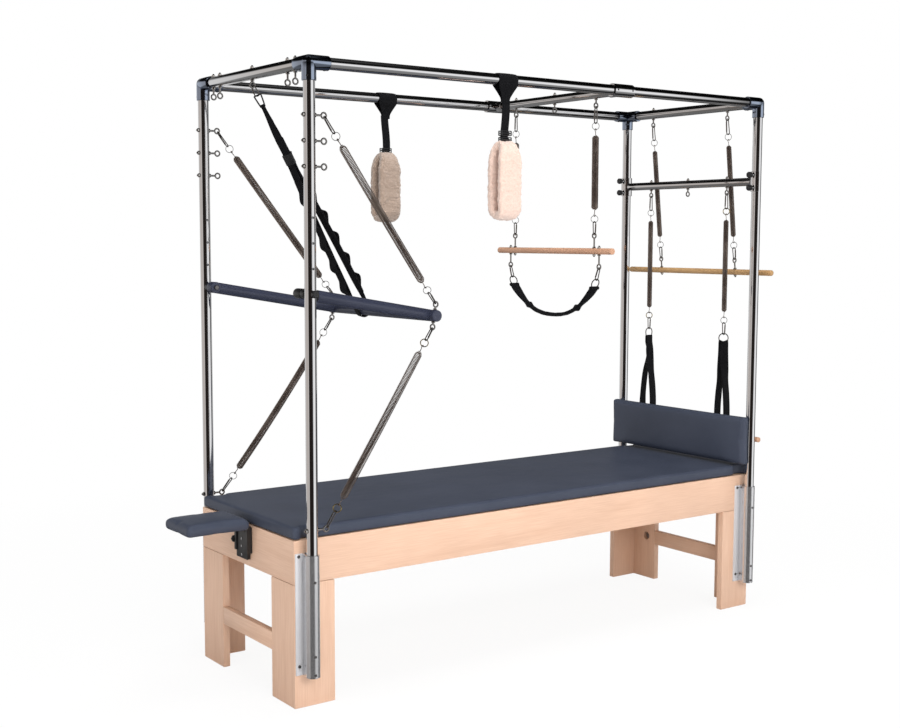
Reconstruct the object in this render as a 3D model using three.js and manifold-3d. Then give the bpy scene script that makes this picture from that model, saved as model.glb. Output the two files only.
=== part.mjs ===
import * as THREE from 'three';
import { mergeVertices } from 'three/addons/utils/BufferGeometryUtils.js';
import Module from 'manifold-3d';

const wasm = await Module();
wasm.setup();

// Trapeze table in millimetres. X runs along the bed from the push-through end to the
// roll-down end, Y across it, Z up. Everything rests on Z = 0.

const HALF_TURN = Math.PI;
const QUARTER_TURN = Math.PI / 2;

// clearances
const FIT = 0.3;
const SLIP = 0.2;
const OVERRUN = 2;
const BITE = 0.6;

// driving dimensions
const TUBE = { radius: 20, wall: 2.5, sides: 12 };
const FRAME = { endInset: 46.5, width: 796, railHeight: 2180, railGap: 28 };
const BASE = { length: 2269, width: 709, board: 28, top: 585, depth: 152 };
const LEG = { endWidth: 163, sideWidth: 159, board: 26 };
const STRETCHER = { height: 64, level: 200, thickness: 26 };
const ACCESS_BORE = { radius: 19, depth: 17, inset: 55, sides: 16 };
const DECK = { thickness: 18 };
const MAT = { height: 45, edge: 12, crown: 5 };
const MAT_NOTCH = { inset: 13, length: 62, depth: 22, corner: 16, steps: 2 };
const BRACKET = { drop: 44, height: 424, flangeWidth: 88, flange: 5, sleeveWall: 4.7, webSpan: 34, web: 5 };
const POST = { seat: 5 };
const ELBOW = { wall: 4.2, drop: 60, reach: 72, sides: 12, rings: 6 };
const HOLE = { radius: 4.5, count: 3, sides: 6 };
const LADDER = { drop: 170, pitch: 84, eyes: 3, lowRise: 40, eyeReach: 55 };
const EYE = {
  ring: 9.5, wire: 3, shank: 3.5, nutRadius: 7, nutHeight: 6, collar: 5, seat: 1.5,
  sides: 6, steps: 8, stemSides: 4,
};
const LEFT_EYES = { reach: 54, middleReach: 38, outerSpread: 616, innerSpread: 510 };
const RIGHT_EYES = { reach: 49, spread: 452 };

const PTB = {
  radius: 21, wall: 3, armSpread: 660, reach: 542, droopDegrees: 9.6, barLength: 744, endWall: 4,
  eyeSpread: 704, eyeReach: 41,
};
const PIVOT = {
  radius: 5, sides: 8, washer: 17, nutRadius: 9, head: 6, knobRadius: 13, knobLength: 18, nutLength: 9,
};

const CROSS = { radius: 17.5, wall: 2.5, sides: 12 };
const TOP_CROSS = {
  place: 300, sleeveLength: 104, sleeveWall: 5, stub: 60, stubWall: 4, eyeReach: 45, eyeSpread: 506,
};
const LOW_CROSS = { drop: 327, saddleHeight: 84, saddleWall: 5, eyeReach: 43, eyeSpread: 464 };
const SADDLE_GAP_DEGREES = 140;
const CLAMP_KNOB = { pitch: 54, bossRadius: 8, boss: 7, radius: 13, length: 20, edge: 3, shank: 4, sides: 8 };

const SNAP = { width: 20, wire: 2.5, upper: 72, lower: 58, sides: 4, steps: 8 };
const SPLIT_RING = { radius: 14, wire: 1.8, steps: 8 };
const SPRING = { hook: 1.8, heavy: 14, light: 11.5, tail: 24, sides: 8 };
const SPRING_WAIST_SHARE = 0.55;

const DOWEL_SIDES = 12;
const TRAPEZE = { barRadius: 12.5, barLength: 724, span: 508, eyeReach: 62, slingSpread: 566 };
const SLING = {
  tiltDegrees: 19.5, ringRadius: 19, ringWire: 2.5, depth: 118, width: 46, thin: 6, thick: 15, points: 6,
};
const SLING_SAG_SHARE_POWER = 2.4;
const ROLL_DOWN = { barRadius: 12.5, barLength: 874, eyeReach: 52, span: 612, gap: 0.6 };
const LOOP = {
  clear: 25, ringRadius: 20, ringWire: 2.5, length: 366, width: 88, band: 4, webbing: 37, steps: 5,
};
const FLEECE = {
  place: 272, wrapWidth: 84, wrapBand: 4, wrapTail: 45, strap: 38, neck: 196, buckleWidth: 46, buckleHeight: 14,
  buckleDepth: 16, length: 290, width: 92, depth: 95, pile: 29, edge: 6, steps: 5,
};
const SAFETY = {
  sideways: 128, ringWidth: 34, ringLength: 82, ringWire: 3, band: 24, ply: 4, fork: 300, buckle: 34,
  buckleDepth: 14, firstPocket: 463, pitch: 97, pocketLength: 62, pockets: 5, bulge: 13, wrapGap: 3.2, turns: 6,
  points: 3,
};

const HEADBOARD = { length: 816, height: 212, thickness: 37, lift: 9, edge: 8, crown: 3 };
const BACKER = { length: 748, height: 124, thickness: 11, lift: 14, recess: 690, recessDepth: 92 };
const CLEAT = { spread: 724, width: 24, height: 44, wall: 11 };
const DOWEL = { radius: 11, length: 840, rise: 113.7 };
const REST = {
  length: 250, width: 206, height: 36, edge: 12, crown: 6, gap: 25, rise: 32, arm: 6, armInset: 30,
};
const REST_PLATE = { width: 72, height: 100, thickness: 15.5, tongue: 3, tongueDepth: 6, drop: 125 };
const REST_LEG = { width: 14, depth: 20, drop: 101 };
const REST_KNOB = { radius: 13.5, length: 15, edge: 3, shank: 3, drop: 65, sides: 10 };

// places worked out from the sizes above
const HALF_SPAN = BASE.length / 2 - FRAME.endInset;
const HALF_WIDTH = FRAME.width / 2;
const STANDOFF = (FRAME.width - BASE.width) / 2;
const RAIL_BOTTOM = BASE.top - BASE.depth;
const MAT_BOTTOM = BASE.top + FIT;
const MAT_TOP = MAT_BOTTOM + MAT.height;
const BRACKET_BOTTOM = BASE.top - BRACKET.drop - BRACKET.height;
const POST_BOTTOM = BRACKET_BOTTOM + POST.seat;
const POST_TOP = FRAME.railHeight - FRAME.railGap;
const HANG = hang(EYE.ring, EYE.wire);
const LADDER_TOP = FRAME.railHeight - LADDER.drop;
const LADDER_LOW = BASE.top + LADDER.lowRise;
const PIVOT_HEIGHT = LADDER_TOP - (LADDER.eyes + HOLE.count + 1) * LADDER.pitch;
const DROOP = THREE.MathUtils.degToRad(PTB.droopDegrees);
const PAD_BACK = HALF_SPAN - TUBE.radius - FIT;
const DOWEL_PLACE = HALF_SPAN + TUBE.radius + DOWEL.radius + FIT;
const DOWEL_HEIGHT = MAT_TOP + DOWEL.rise;
const BACKER_TOP = MAT_TOP + BACKER.lift + BACKER.height;
const LOW_CROSS_HEIGHT = FRAME.railHeight - LOW_CROSS.drop;
const LOOP_EYE = LOW_CROSS_HEIGHT - LOW_CROSS.eyeReach;
const LOOP_DROP = LOOP_EYE - BACKER_TOP - LOOP.clear - LOOP.length;
const ROLL_HINGE = FRAME.railHeight - RIGHT_EYES.reach - HANG;
const LEAN = Math.asin((CROSS.radius + SPRING.light + ROLL_DOWN.gap) / (ROLL_HINGE - LOW_CROSS_HEIGHT));
const WRAP_TAKE_OFF = QUARTER_TURN / 3;

// distance from the centre of a faceted ring to the centre of the wire that hangs in it
function hang(radius, wire, hooked = SNAP.wire) {
  return (radius - wire) * Math.cos(HALF_TURN / EYE.steps) - hooked - FIT;
}

// solids
function weld(geometry) {
  const bare = geometry.clone();
  bare.deleteAttribute('normal');
  bare.deleteAttribute('uv');
  const merged = mergeVertices(bare);
  const corners = [];
  for (let i = 0; i < merged.index.count; i += 3) {
    const [a, b, c] = merged.index.array.slice(i, i + 3);
    if (a !== b && b !== c && c !== a) {
      corners.push(a, b, c);
    }
  }
  return { numProp: 3, vertProperties: merged.attributes.position.array, triVerts: Uint32Array.from(corners) };
}

function solid(geometry) {
  return new wasm.Manifold(new wasm.Mesh(weld(geometry)));
}

function shell(manifold) {
  const mesh = manifold.getMesh();
  const geometry = new THREE.BufferGeometry();
  geometry.setAttribute('position', new THREE.BufferAttribute(mesh.vertProperties, mesh.numProp));
  geometry.setIndex(new THREE.BufferAttribute(mesh.triVerts, 1));
  geometry.computeVertexNormals();
  return geometry;
}

function fuse(...pieces) {
  return shell(pieces.map(solid).reduce((whole, piece) => whole.add(piece)));
}

function cut(body, ...tools) {
  return shell(tools.map(solid).reduce((rest, tool) => rest.subtract(tool), solid(body)));
}

// round stock along +Z from the origin
function rod(radius, length, sides = TUBE.sides) {
  const stock = new THREE.CylinderGeometry(radius, radius, length, sides);
  return stock.rotateX(QUARTER_TURN).translate(0, 0, length / 2);
}

// closed outline of radius and height pairs, turned about Z
function turned(profile, sides) {
  return new THREE.LatheGeometry(profile.map(([r, z]) => new THREE.Vector2(r, z)), sides).rotateX(QUARTER_TURN);
}

function pipe(radius, wall, length, sides = TUBE.sides) {
  const inner = radius - wall;
  return turned([[inner, 0], [radius, 0], [radius, length], [inner, length], [inner, 0]], sides);
}

// radius of a faceted bore that clears stock of the same facets that doesn't turn in it
function seatRadius(radius, sides = TUBE.sides) {
  return radius + FIT / Math.cos(HALF_TURN / sides);
}

// radius of a faceted bore in which round stock turns freely
function turningRadius(radius, sides = TUBE.sides) {
  return (radius + SLIP) / Math.cos(HALF_TURN / sides);
}

// tool for a bore of a radius along +Z through the whole of a length
function bore(radius, length, sides = TUBE.sides) {
  return rod(radius, length + 2 * OVERRUN, sides).translate(0, 0, -OVERRUN);
}

function alongX(geometry) {
  return geometry.rotateY(QUARTER_TURN);
}

function alongY(geometry) {
  return geometry.rotateX(-QUARTER_TURN);
}

function block(length, width, height) {
  return new THREE.BoxGeometry(length, width, height);
}

// outline drawn in X and Y, raised along +Z
function prism(shape, height, curveSegments = TUBE.sides) {
  return new THREE.ExtrudeGeometry(shape, { depth: height, bevelEnabled: false, curveSegments });
}

// outline drawn in X and Z, centred on Y = 0
function slab(shape, width, curveSegments = ELBOW.sides) {
  return prism(shape, width, curveSegments).rotateX(QUARTER_TURN).translate(0, width / 2, 0);
}

// outline drawn in Y and Z, centred on X = 0
function crossSlab(shape, width, curveSegments = ELBOW.sides) {
  return slab(shape, width, curveSegments).rotateZ(QUARTER_TURN);
}

// the same as crossSlab, its long edges drawn in
function softSlab(shape, width, edge, curveSegments = ELBOW.sides) {
  const bevel = { bevelThickness: edge, bevelSize: edge, bevelOffset: -edge, bevelSegments: 1 };
  const geometry = new THREE.ExtrudeGeometry(shape, { depth: width - 2 * edge, curveSegments, ...bevel });
  return geometry.rotateX(QUARTER_TURN).translate(0, width / 2 - edge, 0).rotateZ(QUARTER_TURN);
}

// outline through corner points, always counter-clockwise
function polygon(points) {
  const corners = points.map(([x, y]) => new THREE.Vector2(x, y));
  return new THREE.Shape(THREE.ShapeUtils.isClockWise(corners) ? corners.reverse() : corners);
}

function roundedOutline(length, width, corner) {
  const x = length / 2 - corner;
  const y = width / 2 - corner;
  const outline = new THREE.Shape();
  outline.absarc(x, y, corner, 0, QUARTER_TURN);
  outline.absarc(-x, y, corner, QUARTER_TURN, HALF_TURN);
  outline.absarc(-x, -y, corner, HALF_TURN, HALF_TURN + QUARTER_TURN);
  outline.absarc(x, -y, corner, -QUARTER_TURN, 0);
  return outline;
}

// moves evenly spaced grid lines so that the outermost cells are the rounded edge
function gridLine(share, half, edge, cells) {
  const innerShare = 1 - 2 / cells;
  const flat = half - edge;
  const inside = Math.round(Math.abs(share) * cells) < cells;
  return inside ? (share / innerShare) * flat : Math.sign(share) * half;
}

// padded block with rounded edges and a crowned top
function cushion({ length, width, height, edge, crown }, cells) {
  const geometry = new THREE.BoxGeometry(length, width, height, ...cells);
  const places = geometry.attributes.position;
  const half = [length / 2, width / 2, height / 2];
  const flat = new THREE.Vector3(...half.map((size) => size - edge));
  for (let i = 0; i < places.count; i += 1) {
    const shares = half.map((size, axis) => places.getComponent(i, axis) / size);
    const point = new THREE.Vector3(...half.map((size, axis) => gridLine(shares[axis], size, edge, cells[axis])));
    const core = point.clone().clamp(flat.clone().negate(), flat);
    const over = point.clone().sub(core);
    if (over.lengthSq() > 0) {
      point.copy(core).addScaledVector(over.normalize(), edge);
    }
    point.z += crown * (1 - shares[0] ** 2) * (1 - shares[1] ** 2) * (1 + shares[2]) / 2;
    places.setXYZ(i, ...point);
  }
  return geometry;
}

// ring of wire in the X-Z plane
function ring(radius, wire, steps) {
  return new THREE.TorusGeometry(radius, wire, SNAP.sides, steps).rotateX(QUARTER_TURN);
}

// long ring of wire in the Y-Z plane that hangs from the middle of its own top wire
function link(width, length, wire) {
  const geometry = new THREE.TorusGeometry(width / 2 - wire, wire, SNAP.sides, SNAP.steps).rotateY(QUARTER_TURN);
  const places = geometry.attributes.position;
  const stretch = (length - width) / 2;
  for (let i = 0; i < places.count; i += 1) {
    const z = places.getZ(i);
    places.setZ(i, Math.abs(z) > wire / 2 ? z + Math.sign(z) * stretch : z);
  }
  return geometry.translate(0, 0, wire - length / 2);
}

// eye below round stock of a radius, in the X-Z plane
function eye(radius, reach) {
  const foot = reach - EYE.ring;
  const collar = rod(EYE.collar, EYE.collar + EYE.seat, EYE.stemSides).translate(0, 0, -radius - EYE.collar);
  const shank = rod(EYE.shank, foot, EYE.stemSides).translate(0, 0, -foot);
  return [collar, shank, ring(EYE.ring, EYE.wire, EYE.steps).translate(0, 0, -reach)];
}

// eye with its bolt through the stock and its nut on top
function eyebolt(radius, reach) {
  const nut = rod(EYE.nutRadius, EYE.nutHeight + EYE.seat, EYE.sides).translate(0, 0, radius - EYE.seat);
  const bolt = rod(EYE.shank, radius + EYE.nutHeight, EYE.stemSides);
  return fuse(nut, bolt, ...eye(radius, reach));
}

// distance between the centres of a link's wire and of the wire that is hooked on it
function seat(wire) {
  return SNAP.wire + wire - BITE;
}

// distance from the top wire of a link down to the centre of the ring at its foot
function ringDrop(length, radius, wire) {
  return length - 2 * SNAP.wire - seat(wire) + radius;
}

// close-wound spring as its outer sleeve, drawn in at both ends
function coil(radius, length) {
  const waist = radius * SPRING_WAIST_SHARE;
  const shoulder = radius - waist;
  return turned([
    [0, 0], [waist, 0], [radius, shoulder], [radius, length - shoulder], [waist, length], [0, length],
  ], SPRING.sides);
}

// spring with hooks, split rings and snap hooks, from the wire of the top snap hook at the
// origin down to the wire of the bottom one
function springLine(span, radius) {
  const upperRing = ringDrop(SNAP.upper, SPLIT_RING.radius, SPLIT_RING.wire);
  const lowerRing = span - ringDrop(SNAP.lower, SPLIT_RING.radius, SPLIT_RING.wire);
  const coilTop = upperRing + SPLIT_RING.radius + SPRING.tail;
  const coilBottom = lowerRing - SPLIT_RING.radius - SPRING.tail;
  const hookLength = SPRING.tail + radius;
  return fuse(
    link(SNAP.width, SNAP.upper, SNAP.wire),
    ring(SPLIT_RING.radius, SPLIT_RING.wire, SPLIT_RING.steps).translate(0, 0, -upperRing),
    rod(SPRING.hook, hookLength, SNAP.sides).translate(0, 0, -coilTop - radius),
    coil(radius, coilBottom - coilTop).translate(0, 0, -coilBottom),
    rod(SPRING.hook, hookLength, SNAP.sides).translate(0, 0, -coilBottom - SPRING.tail),
    ring(SPLIT_RING.radius, SPLIT_RING.wire, SPLIT_RING.steps).translate(0, 0, -lowerRing),
    link(SNAP.width, SNAP.lower, SNAP.wire).rotateX(HALF_TURN).translate(0, 0, -span),
  );
}

// round bar along Y with its eyes
function eyeBar(radius, length, up, down) {
  const stock = alongY(rod(radius, length, DOWEL_SIDES)).translate(0, -length / 2, 0);
  const above = (spread, reach) => [-1, 1].map((y) => (
    eyebolt(radius, reach).rotateX(HALF_TURN).translate(0, y * spread / 2, 0)
  ));
  const below = (spread, reach) => [-1, 1].map((y) => eyebolt(radius, reach).translate(0, y * spread / 2, 0));
  return fuse(stock, ...above(...up), ...(down ? below(...down) : []));
}

// turned hand knob along +Z, its shank reaching back from the origin
function knob({ radius, length, edge, shank, sides }, reach) {
  return turned([
    [0, -reach], [shank, -reach], [shank, 0], [radius - edge, 0], [radius, edge],
    [radius, length - edge], [radius - edge, length], [0, length],
  ], sides);
}

const model = new THREE.Group();

function place(name, geometry, look, parent = model) {
  const mesh = new THREE.Mesh(geometry, new THREE.MeshStandardMaterial(look));
  mesh.name = name;
  parent.add(mesh);
  return mesh;
}

function holder(x, y, z) {
  const group = new THREE.Group();
  group.position.set(x, y, z);
  model.add(group);
  return group;
}

// turns a piece that hangs along -Z so that it runs from one point towards another
function aim(mesh, from, to) {
  const up = from.clone().sub(to).normalize();
  const side = new THREE.Vector3(0, 1, 0).addScaledVector(up, -up.y).normalize();
  const front = side.clone().cross(up);
  mesh.quaternion.setFromRotationMatrix(new THREE.Matrix4().makeBasis(front, side, up));
  mesh.position.copy(from);
}

const CHROME = { color: 0xd9dcdf, roughness: 0.12, metalness: 1 };
const ALUMINIUM = { color: 0xe3e4e4, roughness: 0.3, metalness: 1 };
const MAPLE = { color: 0xe2bd94, roughness: 0.5, metalness: 0 };
const PLYWOOD = { color: 0xc9a97b, roughness: 0.7, metalness: 0 };
const VINYL = { color: 0x4b4c55, roughness: 0.5, metalness: 0 };
const SLATE = { color: 0x4a5566, roughness: 0.45, metalness: 0.3 };
const BLACK = { color: 0x17171a, roughness: 0.5, metalness: 0 };
const WEBBING = { color: 0x101014, roughness: 0.9, metalness: 0 };
const COIL = { color: 0x6b5f57, roughness: 0.4, metalness: 1 };
const DOWEL_WOOD = { color: 0xc59a72, roughness: 0.55, metalness: 0 };
const WOOL = { color: 0xe6d6c8, roughness: 1, metalness: 0 };

const ENDS = [['left', -1], ['right', 1]];
const SIDES = [['front', -1], ['back', 1]];

// bed: side rails, end aprons, legs, stretchers, deck and mat
function sideRail() {
  return block(BASE.length, BASE.board, BASE.depth);
}

function endApron() {
  return block(BASE.board, BASE.width - 2 * BASE.board - 2 * FIT, BASE.depth);
}

// two boards joined to an L at the front right corner, with the blind bore for the
// stretcher's bolt; side is -1 for that corner and 1 for its mirror image
function leg(side) {
  const y = (size) => -side * size;
  const outline = polygon([
    [0, 0], [-LEG.sideWidth, 0], [-LEG.sideWidth, y(LEG.board)],
    [-LEG.board, y(LEG.board)], [-LEG.board, y(LEG.endWidth)], [0, y(LEG.endWidth)],
  ]);
  const access = alongX(rod(ACCESS_BORE.radius, ACCESS_BORE.depth + OVERRUN, ACCESS_BORE.sides));
  access.translate(-LEG.board - OVERRUN, y(LEG.endWidth - ACCESS_BORE.inset), STRETCHER.level);
  return cut(prism(outline, RAIL_BOTTOM - FIT), access);
}

function stretcher() {
  return block(STRETCHER.thickness, BASE.width - 2 * LEG.endWidth - 2 * FIT, STRETCHER.height);
}

function deck() {
  const inset = 2 * BASE.board + 2 * FIT;
  return block(BASE.length - inset, BASE.width - inset, DECK.thickness);
}

function mat() {
  const body = cushion({ length: BASE.length, width: BASE.width, ...MAT }, [6, 4, 4]);
  const tool = roundedOutline(MAT_NOTCH.length, 2 * MAT_NOTCH.depth, MAT_NOTCH.corner);
  const notches = ENDS.flatMap(([, x]) => SIDES.map(([, y]) => (
    prism(tool, 2 * MAT.height, MAT_NOTCH.steps).translate(x * (HALF_SPAN - MAT_NOTCH.inset), y * BASE.width / 2, -MAT.height)
  )));
  return cut(body, ...notches);
}

function addBed() {
  const middle = BASE.top - BASE.depth / 2;
  for (const [side, y] of SIDES) {
    place(`side_rail_${side}`, sideRail(), MAPLE).position.set(0, y * (BASE.width - BASE.board) / 2, middle);
  }
  for (const [end, x] of ENDS) {
    place(`end_apron_${end}`, endApron(), MAPLE).position.set(x * (BASE.length - BASE.board) / 2, 0, middle);
    const bar = place(`stretcher_${end}`, stretcher(), MAPLE);
    bar.position.set(x * (BASE.length - STRETCHER.thickness) / 2, 0, STRETCHER.level);
    for (const [side, y] of SIDES) {
      const corner = holder(x * BASE.length / 2, y * BASE.width / 2, 0);
      corner.rotation.z = x > 0 ? 0 : HALF_TURN;
      place(`leg_${side}_${end}`, leg(x * y), MAPLE, corner);
    }
  }
  place('deck_panel', deck(), PLYWOOD).position.z = BASE.top - DECK.thickness / 2;
  place('mat', mat(), VINYL).position.z = MAT_BOTTOM + MAT.height / 2;
}

// canopy: brackets, posts, corner elbows and top rails
// bracket drawn with the wood at Y = 0 and the post at Y = STANDOFF
function bracket() {
  const outer = TUBE.radius + FIT + BRACKET.sleeveWall;
  const web = BRACKET.webSpan / 2;
  const meet = Math.acos(web / outer);
  const outline = new THREE.Shape();
  outline.moveTo(-BRACKET.flangeWidth / 2, 0);
  outline.lineTo(BRACKET.flangeWidth / 2, 0);
  outline.lineTo(BRACKET.flangeWidth / 2, BRACKET.flange);
  outline.lineTo(web, BRACKET.flange);
  outline.absarc(0, STANDOFF, outer, -meet, HALF_TURN + meet);
  outline.lineTo(-web, BRACKET.flange);
  outline.lineTo(-BRACKET.flangeWidth / 2, BRACKET.flange);
  outline.closePath();
  const inner = web - BRACKET.web;
  const innerMeet = Math.acos(inner / outer);
  const hollow = new THREE.Path();
  hollow.moveTo(-inner, BRACKET.flange);
  hollow.absarc(0, STANDOFF, outer, HALF_TURN + innerMeet, 2 * HALF_TURN - innerMeet);
  hollow.lineTo(inner, BRACKET.flange);
  hollow.closePath();
  const hole = new THREE.Path();
  hole.absarc(0, STANDOFF, seatRadius(TUBE.radius), 0, 2 * HALF_TURN);
  outline.holes.push(hollow, hole);
  return prism(outline, BRACKET.height);
}

function post() {
  return pipe(TUBE.radius, TUBE.wall, POST_TOP - POST_BOTTOM).translate(0, 0, POST_BOTTOM);
}

// spacer, pivot bolt and its head for the push-through arm, inwards along +Y from the post,
// and the hand nut or plain nut on the far side
function pivotPin(nutRadius, nutLength) {
  const armFace = (FRAME.width - PTB.armSpread) / 2 - PTB.radius;
  const armInner = armFace + 2 * PTB.radius;
  const seatDepth = TUBE.radius - TUBE.wall;
  const pinLength = TUBE.radius + armInner + FIT + PIVOT.head;
  const pin = rod(PIVOT.radius, pinLength, PIVOT.sides).translate(0, 0, -TUBE.radius);
  const spacer = rod(PIVOT.washer, armFace - FIT - seatDepth, CROSS.sides).translate(0, 0, seatDepth);
  const head = rod(PIVOT.nutRadius, PIVOT.head, EYE.sides).translate(0, 0, armInner + FIT);
  const nut = rod(nutRadius, nutLength + TUBE.wall, PIVOT.sides).translate(0, 0, -TUBE.radius - nutLength);
  return alongY(fuse(pin, spacer, head, nut));
}

// left posts carry the eyebolts, the row of adjusting holes and the pivot of the arms
function leftPost(inward) {
  const eyeLevels = [...Array(LADDER.eyes).keys()].map((i) => LADDER_TOP - i * LADDER.pitch);
  const holeLevels = [...Array(HOLE.count).keys()].map((i) => (
    LADDER_TOP - (LADDER.eyes + 1 + i) * LADDER.pitch
  ));
  const eyes = [...eyeLevels, LADDER_LOW].map((level) => (
    eyebolt(TUBE.radius, LADDER.eyeReach).rotateY(-QUARTER_TURN).translate(0, 0, level)
  ));
  const holes = holeLevels.map((level) => (
    alongY(bore(HOLE.radius, 2 * TUBE.radius, HOLE.sides)).translate(0, -TUBE.radius, level)
  ));
  const nut = inward > 0 ? [PIVOT.knobRadius, PIVOT.knobLength] : [PIVOT.nutRadius, PIVOT.nutLength];
  const pin = pivotPin(...nut).rotateZ(inward > 0 ? 0 : HALF_TURN).translate(0, 0, PIVOT_HEIGHT);
  return fuse(cut(post(), ...holes), pin, ...eyes);
}

// three-way elbow with its arms along +X, +Y and -Z
function elbow() {
  const outer = TUBE.radius + FIT + ELBOW.wall;
  const arm = (length) => rod(outer, length, ELBOW.sides);
  const socket = (length) => (
    bore(seatRadius(TUBE.radius), length).translate(0, 0, FRAME.railGap - FIT + OVERRUN)
  );
  const body = fuse(
    new THREE.SphereGeometry(outer, ELBOW.sides, ELBOW.rings),
    alongX(arm(ELBOW.reach)),
    alongY(arm(ELBOW.reach)),
    arm(ELBOW.drop).rotateX(HALF_TURN),
  );
  return cut(
    body,
    alongX(socket(ELBOW.reach)),
    alongY(socket(ELBOW.reach)),
    socket(ELBOW.drop).rotateX(HALF_TURN),
  );
}

function topRail(length) {
  return pipe(TUBE.radius, TUBE.wall, length).translate(0, 0, -length / 2);
}

function crossRail(eyes) {
  const rail = alongY(topRail(FRAME.width - 2 * FRAME.railGap));
  return fuse(rail, ...eyes.map(([y, reach]) => eyebolt(TUBE.radius, reach).translate(0, y, 0)));
}

function addCanopy() {
  for (const [end, x] of ENDS) {
    for (const [side, y] of SIDES) {
      const mount = holder(x * HALF_SPAN, y * BASE.width / 2, BRACKET_BOTTOM);
      mount.rotation.z = y > 0 ? 0 : HALF_TURN;
      place(`bracket_${side}_${end}`, bracket(), ALUMINIUM, mount);
      const upright = place(`post_${side}_${end}`, x < 0 ? leftPost(-y) : post(), CHROME);
      upright.position.set(x * HALF_SPAN, y * HALF_WIDTH, 0);
      const corner = place(`corner_${side}_${end}`, elbow(), CHROME);
      corner.position.set(x * HALF_SPAN, y * HALF_WIDTH, FRAME.railHeight);
      corner.rotation.z = Math.atan2(-y, -x) - QUARTER_TURN / 2;
    }
  }
  for (const [side, y] of SIDES) {
    const rail = alongX(topRail(2 * (HALF_SPAN - FRAME.railGap)));
    place(`rail_top_${side}`, rail, CHROME).position.set(0, y * HALF_WIDTH, FRAME.railHeight);
  }
  const outer = LEFT_EYES.outerSpread / 2;
  const inner = LEFT_EYES.innerSpread / 2;
  const leftEyes = [-outer, -inner, inner, outer].map((y) => [y, LEFT_EYES.reach]);
  const left = place('rail_top_left', crossRail([...leftEyes, [0, LEFT_EYES.middleReach]]), CHROME);
  left.position.set(-HALF_SPAN, 0, FRAME.railHeight);
  const rightEyes = [-1, 1].map((y) => [y * RIGHT_EYES.spread / 2, RIGHT_EYES.reach]);
  place('rail_top_right', crossRail(rightEyes), CHROME).position.set(HALF_SPAN, 0, FRAME.railHeight);
}

// sliding top crossbar with its two tees, and the trapeze that hangs from it
function topCrossbar() {
  const outer = TUBE.radius + FIT + TOP_CROSS.sleeveWall;
  const sleeve = (y) => (
    alongX(rod(outer, TOP_CROSS.sleeveLength)).translate(-TOP_CROSS.sleeveLength / 2, y * HALF_WIDTH, 0)
  );
  const stub = (y) => (
    alongY(rod(CROSS.radius + TOP_CROSS.stubWall, TOP_CROSS.stub))
      .rotateZ(y > 0 ? HALF_TURN : 0).translate(0, y * HALF_WIDTH, 0)
  );
  const railBore = (y) => (
    alongX(bore(seatRadius(TUBE.radius), TOP_CROSS.sleeveLength))
      .translate(-TOP_CROSS.sleeveLength / 2, y * HALF_WIDTH, 0)
  );
  const ends = [-1, 1];
  const hollow = alongY(rod(CROSS.radius - CROSS.wall, FRAME.width, CROSS.sides)).translate(0, -HALF_WIDTH, 0);
  const bar = alongY(rod(CROSS.radius, FRAME.width, CROSS.sides)).translate(0, -HALF_WIDTH, 0);
  const whole = cut(fuse(bar, ...ends.map(sleeve), ...ends.map(stub)), hollow, ...ends.map(railBore));
  const eyes = ends.map((y) => (
    eyebolt(CROSS.radius, TOP_CROSS.eyeReach).translate(0, y * TOP_CROSS.eyeSpread / 2, 0)
  ));
  return fuse(whole, eyebolt(CROSS.radius, TOP_CROSS.eyeReach), ...eyes);
}

// padded sling, sagging between two rings that hang in snap hooks from the bar's lower eyes
function sling() {
  const tilt = THREE.MathUtils.degToRad(SLING.tiltDegrees);
  const drop = ringDrop(SNAP.lower, SLING.ringRadius, SLING.ringWire);
  const lift = EYE.ring - HANG;
  const hooks = (y) => (
    fuse(
      link(SNAP.width, SNAP.lower, SNAP.wire),
      ring(SLING.ringRadius, SLING.ringWire, SPLIT_RING.steps).translate(0, 0, -drop),
      alongX(rod(SLING.ringWire + SLING.thin / 2, SLING.width, EYE.sides))
        .translate(-SLING.width / 2, 0, -drop - SLING.ringRadius),
    ).translate(0, 0, lift).rotateX(-y * tilt).translate(0, y * TRAPEZE.slingSpread / 2, -lift)
  );
  const reach = drop + SLING.ringRadius - lift;
  const half = TRAPEZE.slingSpread / 2 - reach * Math.sin(tilt);
  const end = -lift - reach * Math.cos(tilt);
  const steps = [...Array(2 * SLING.points + 1).keys()].map((i) => i / SLING.points - 1);
  const edge = (side) => steps.map((share) => {
    const sagShare = 1 - Math.abs(share) ** SLING_SAG_SHARE_POWER;
    const padShare = Math.cos(share * QUARTER_TURN) ** 2;
    const thickness = SLING.thin + (SLING.thick - SLING.thin) * padShare;
    return [share * half, end - sagShare * SLING.depth + side * thickness / 2];
  });
  const cloth = crossSlab(polygon([...edge(-1), ...edge(1).reverse()]), SLING.width);
  return fuse(cloth, hooks(-1), hooks(1));
}

function addTrapeze() {
  place('crossbar_top', topCrossbar(), CHROME).position.set(TOP_CROSS.place, 0, FRAME.railHeight);
  const group = holder(TOP_CROSS.place, 0, FRAME.railHeight - TOP_CROSS.eyeReach - HANG);
  const bar = TRAPEZE.span + HANG + TRAPEZE.eyeReach;
  for (const [side, y] of SIDES) {
    const spring = place(`trapeze_spring_${side}`, springLine(TRAPEZE.span, SPRING.heavy), COIL, group);
    spring.position.y = y * TOP_CROSS.eyeSpread / 2;
  }
  const eyes = [[TOP_CROSS.eyeSpread, TRAPEZE.eyeReach], [TRAPEZE.slingSpread, TRAPEZE.eyeReach]];
  const stock = eyeBar(TRAPEZE.barRadius, TRAPEZE.barLength, ...eyes);
  place('trapeze_bar', stock, DOWEL_WOOD, group).position.z = -bar;
  place('trapeze_sling', sling(), WEBBING, group).position.z = -bar - TRAPEZE.eyeReach - HANG;
}

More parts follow.
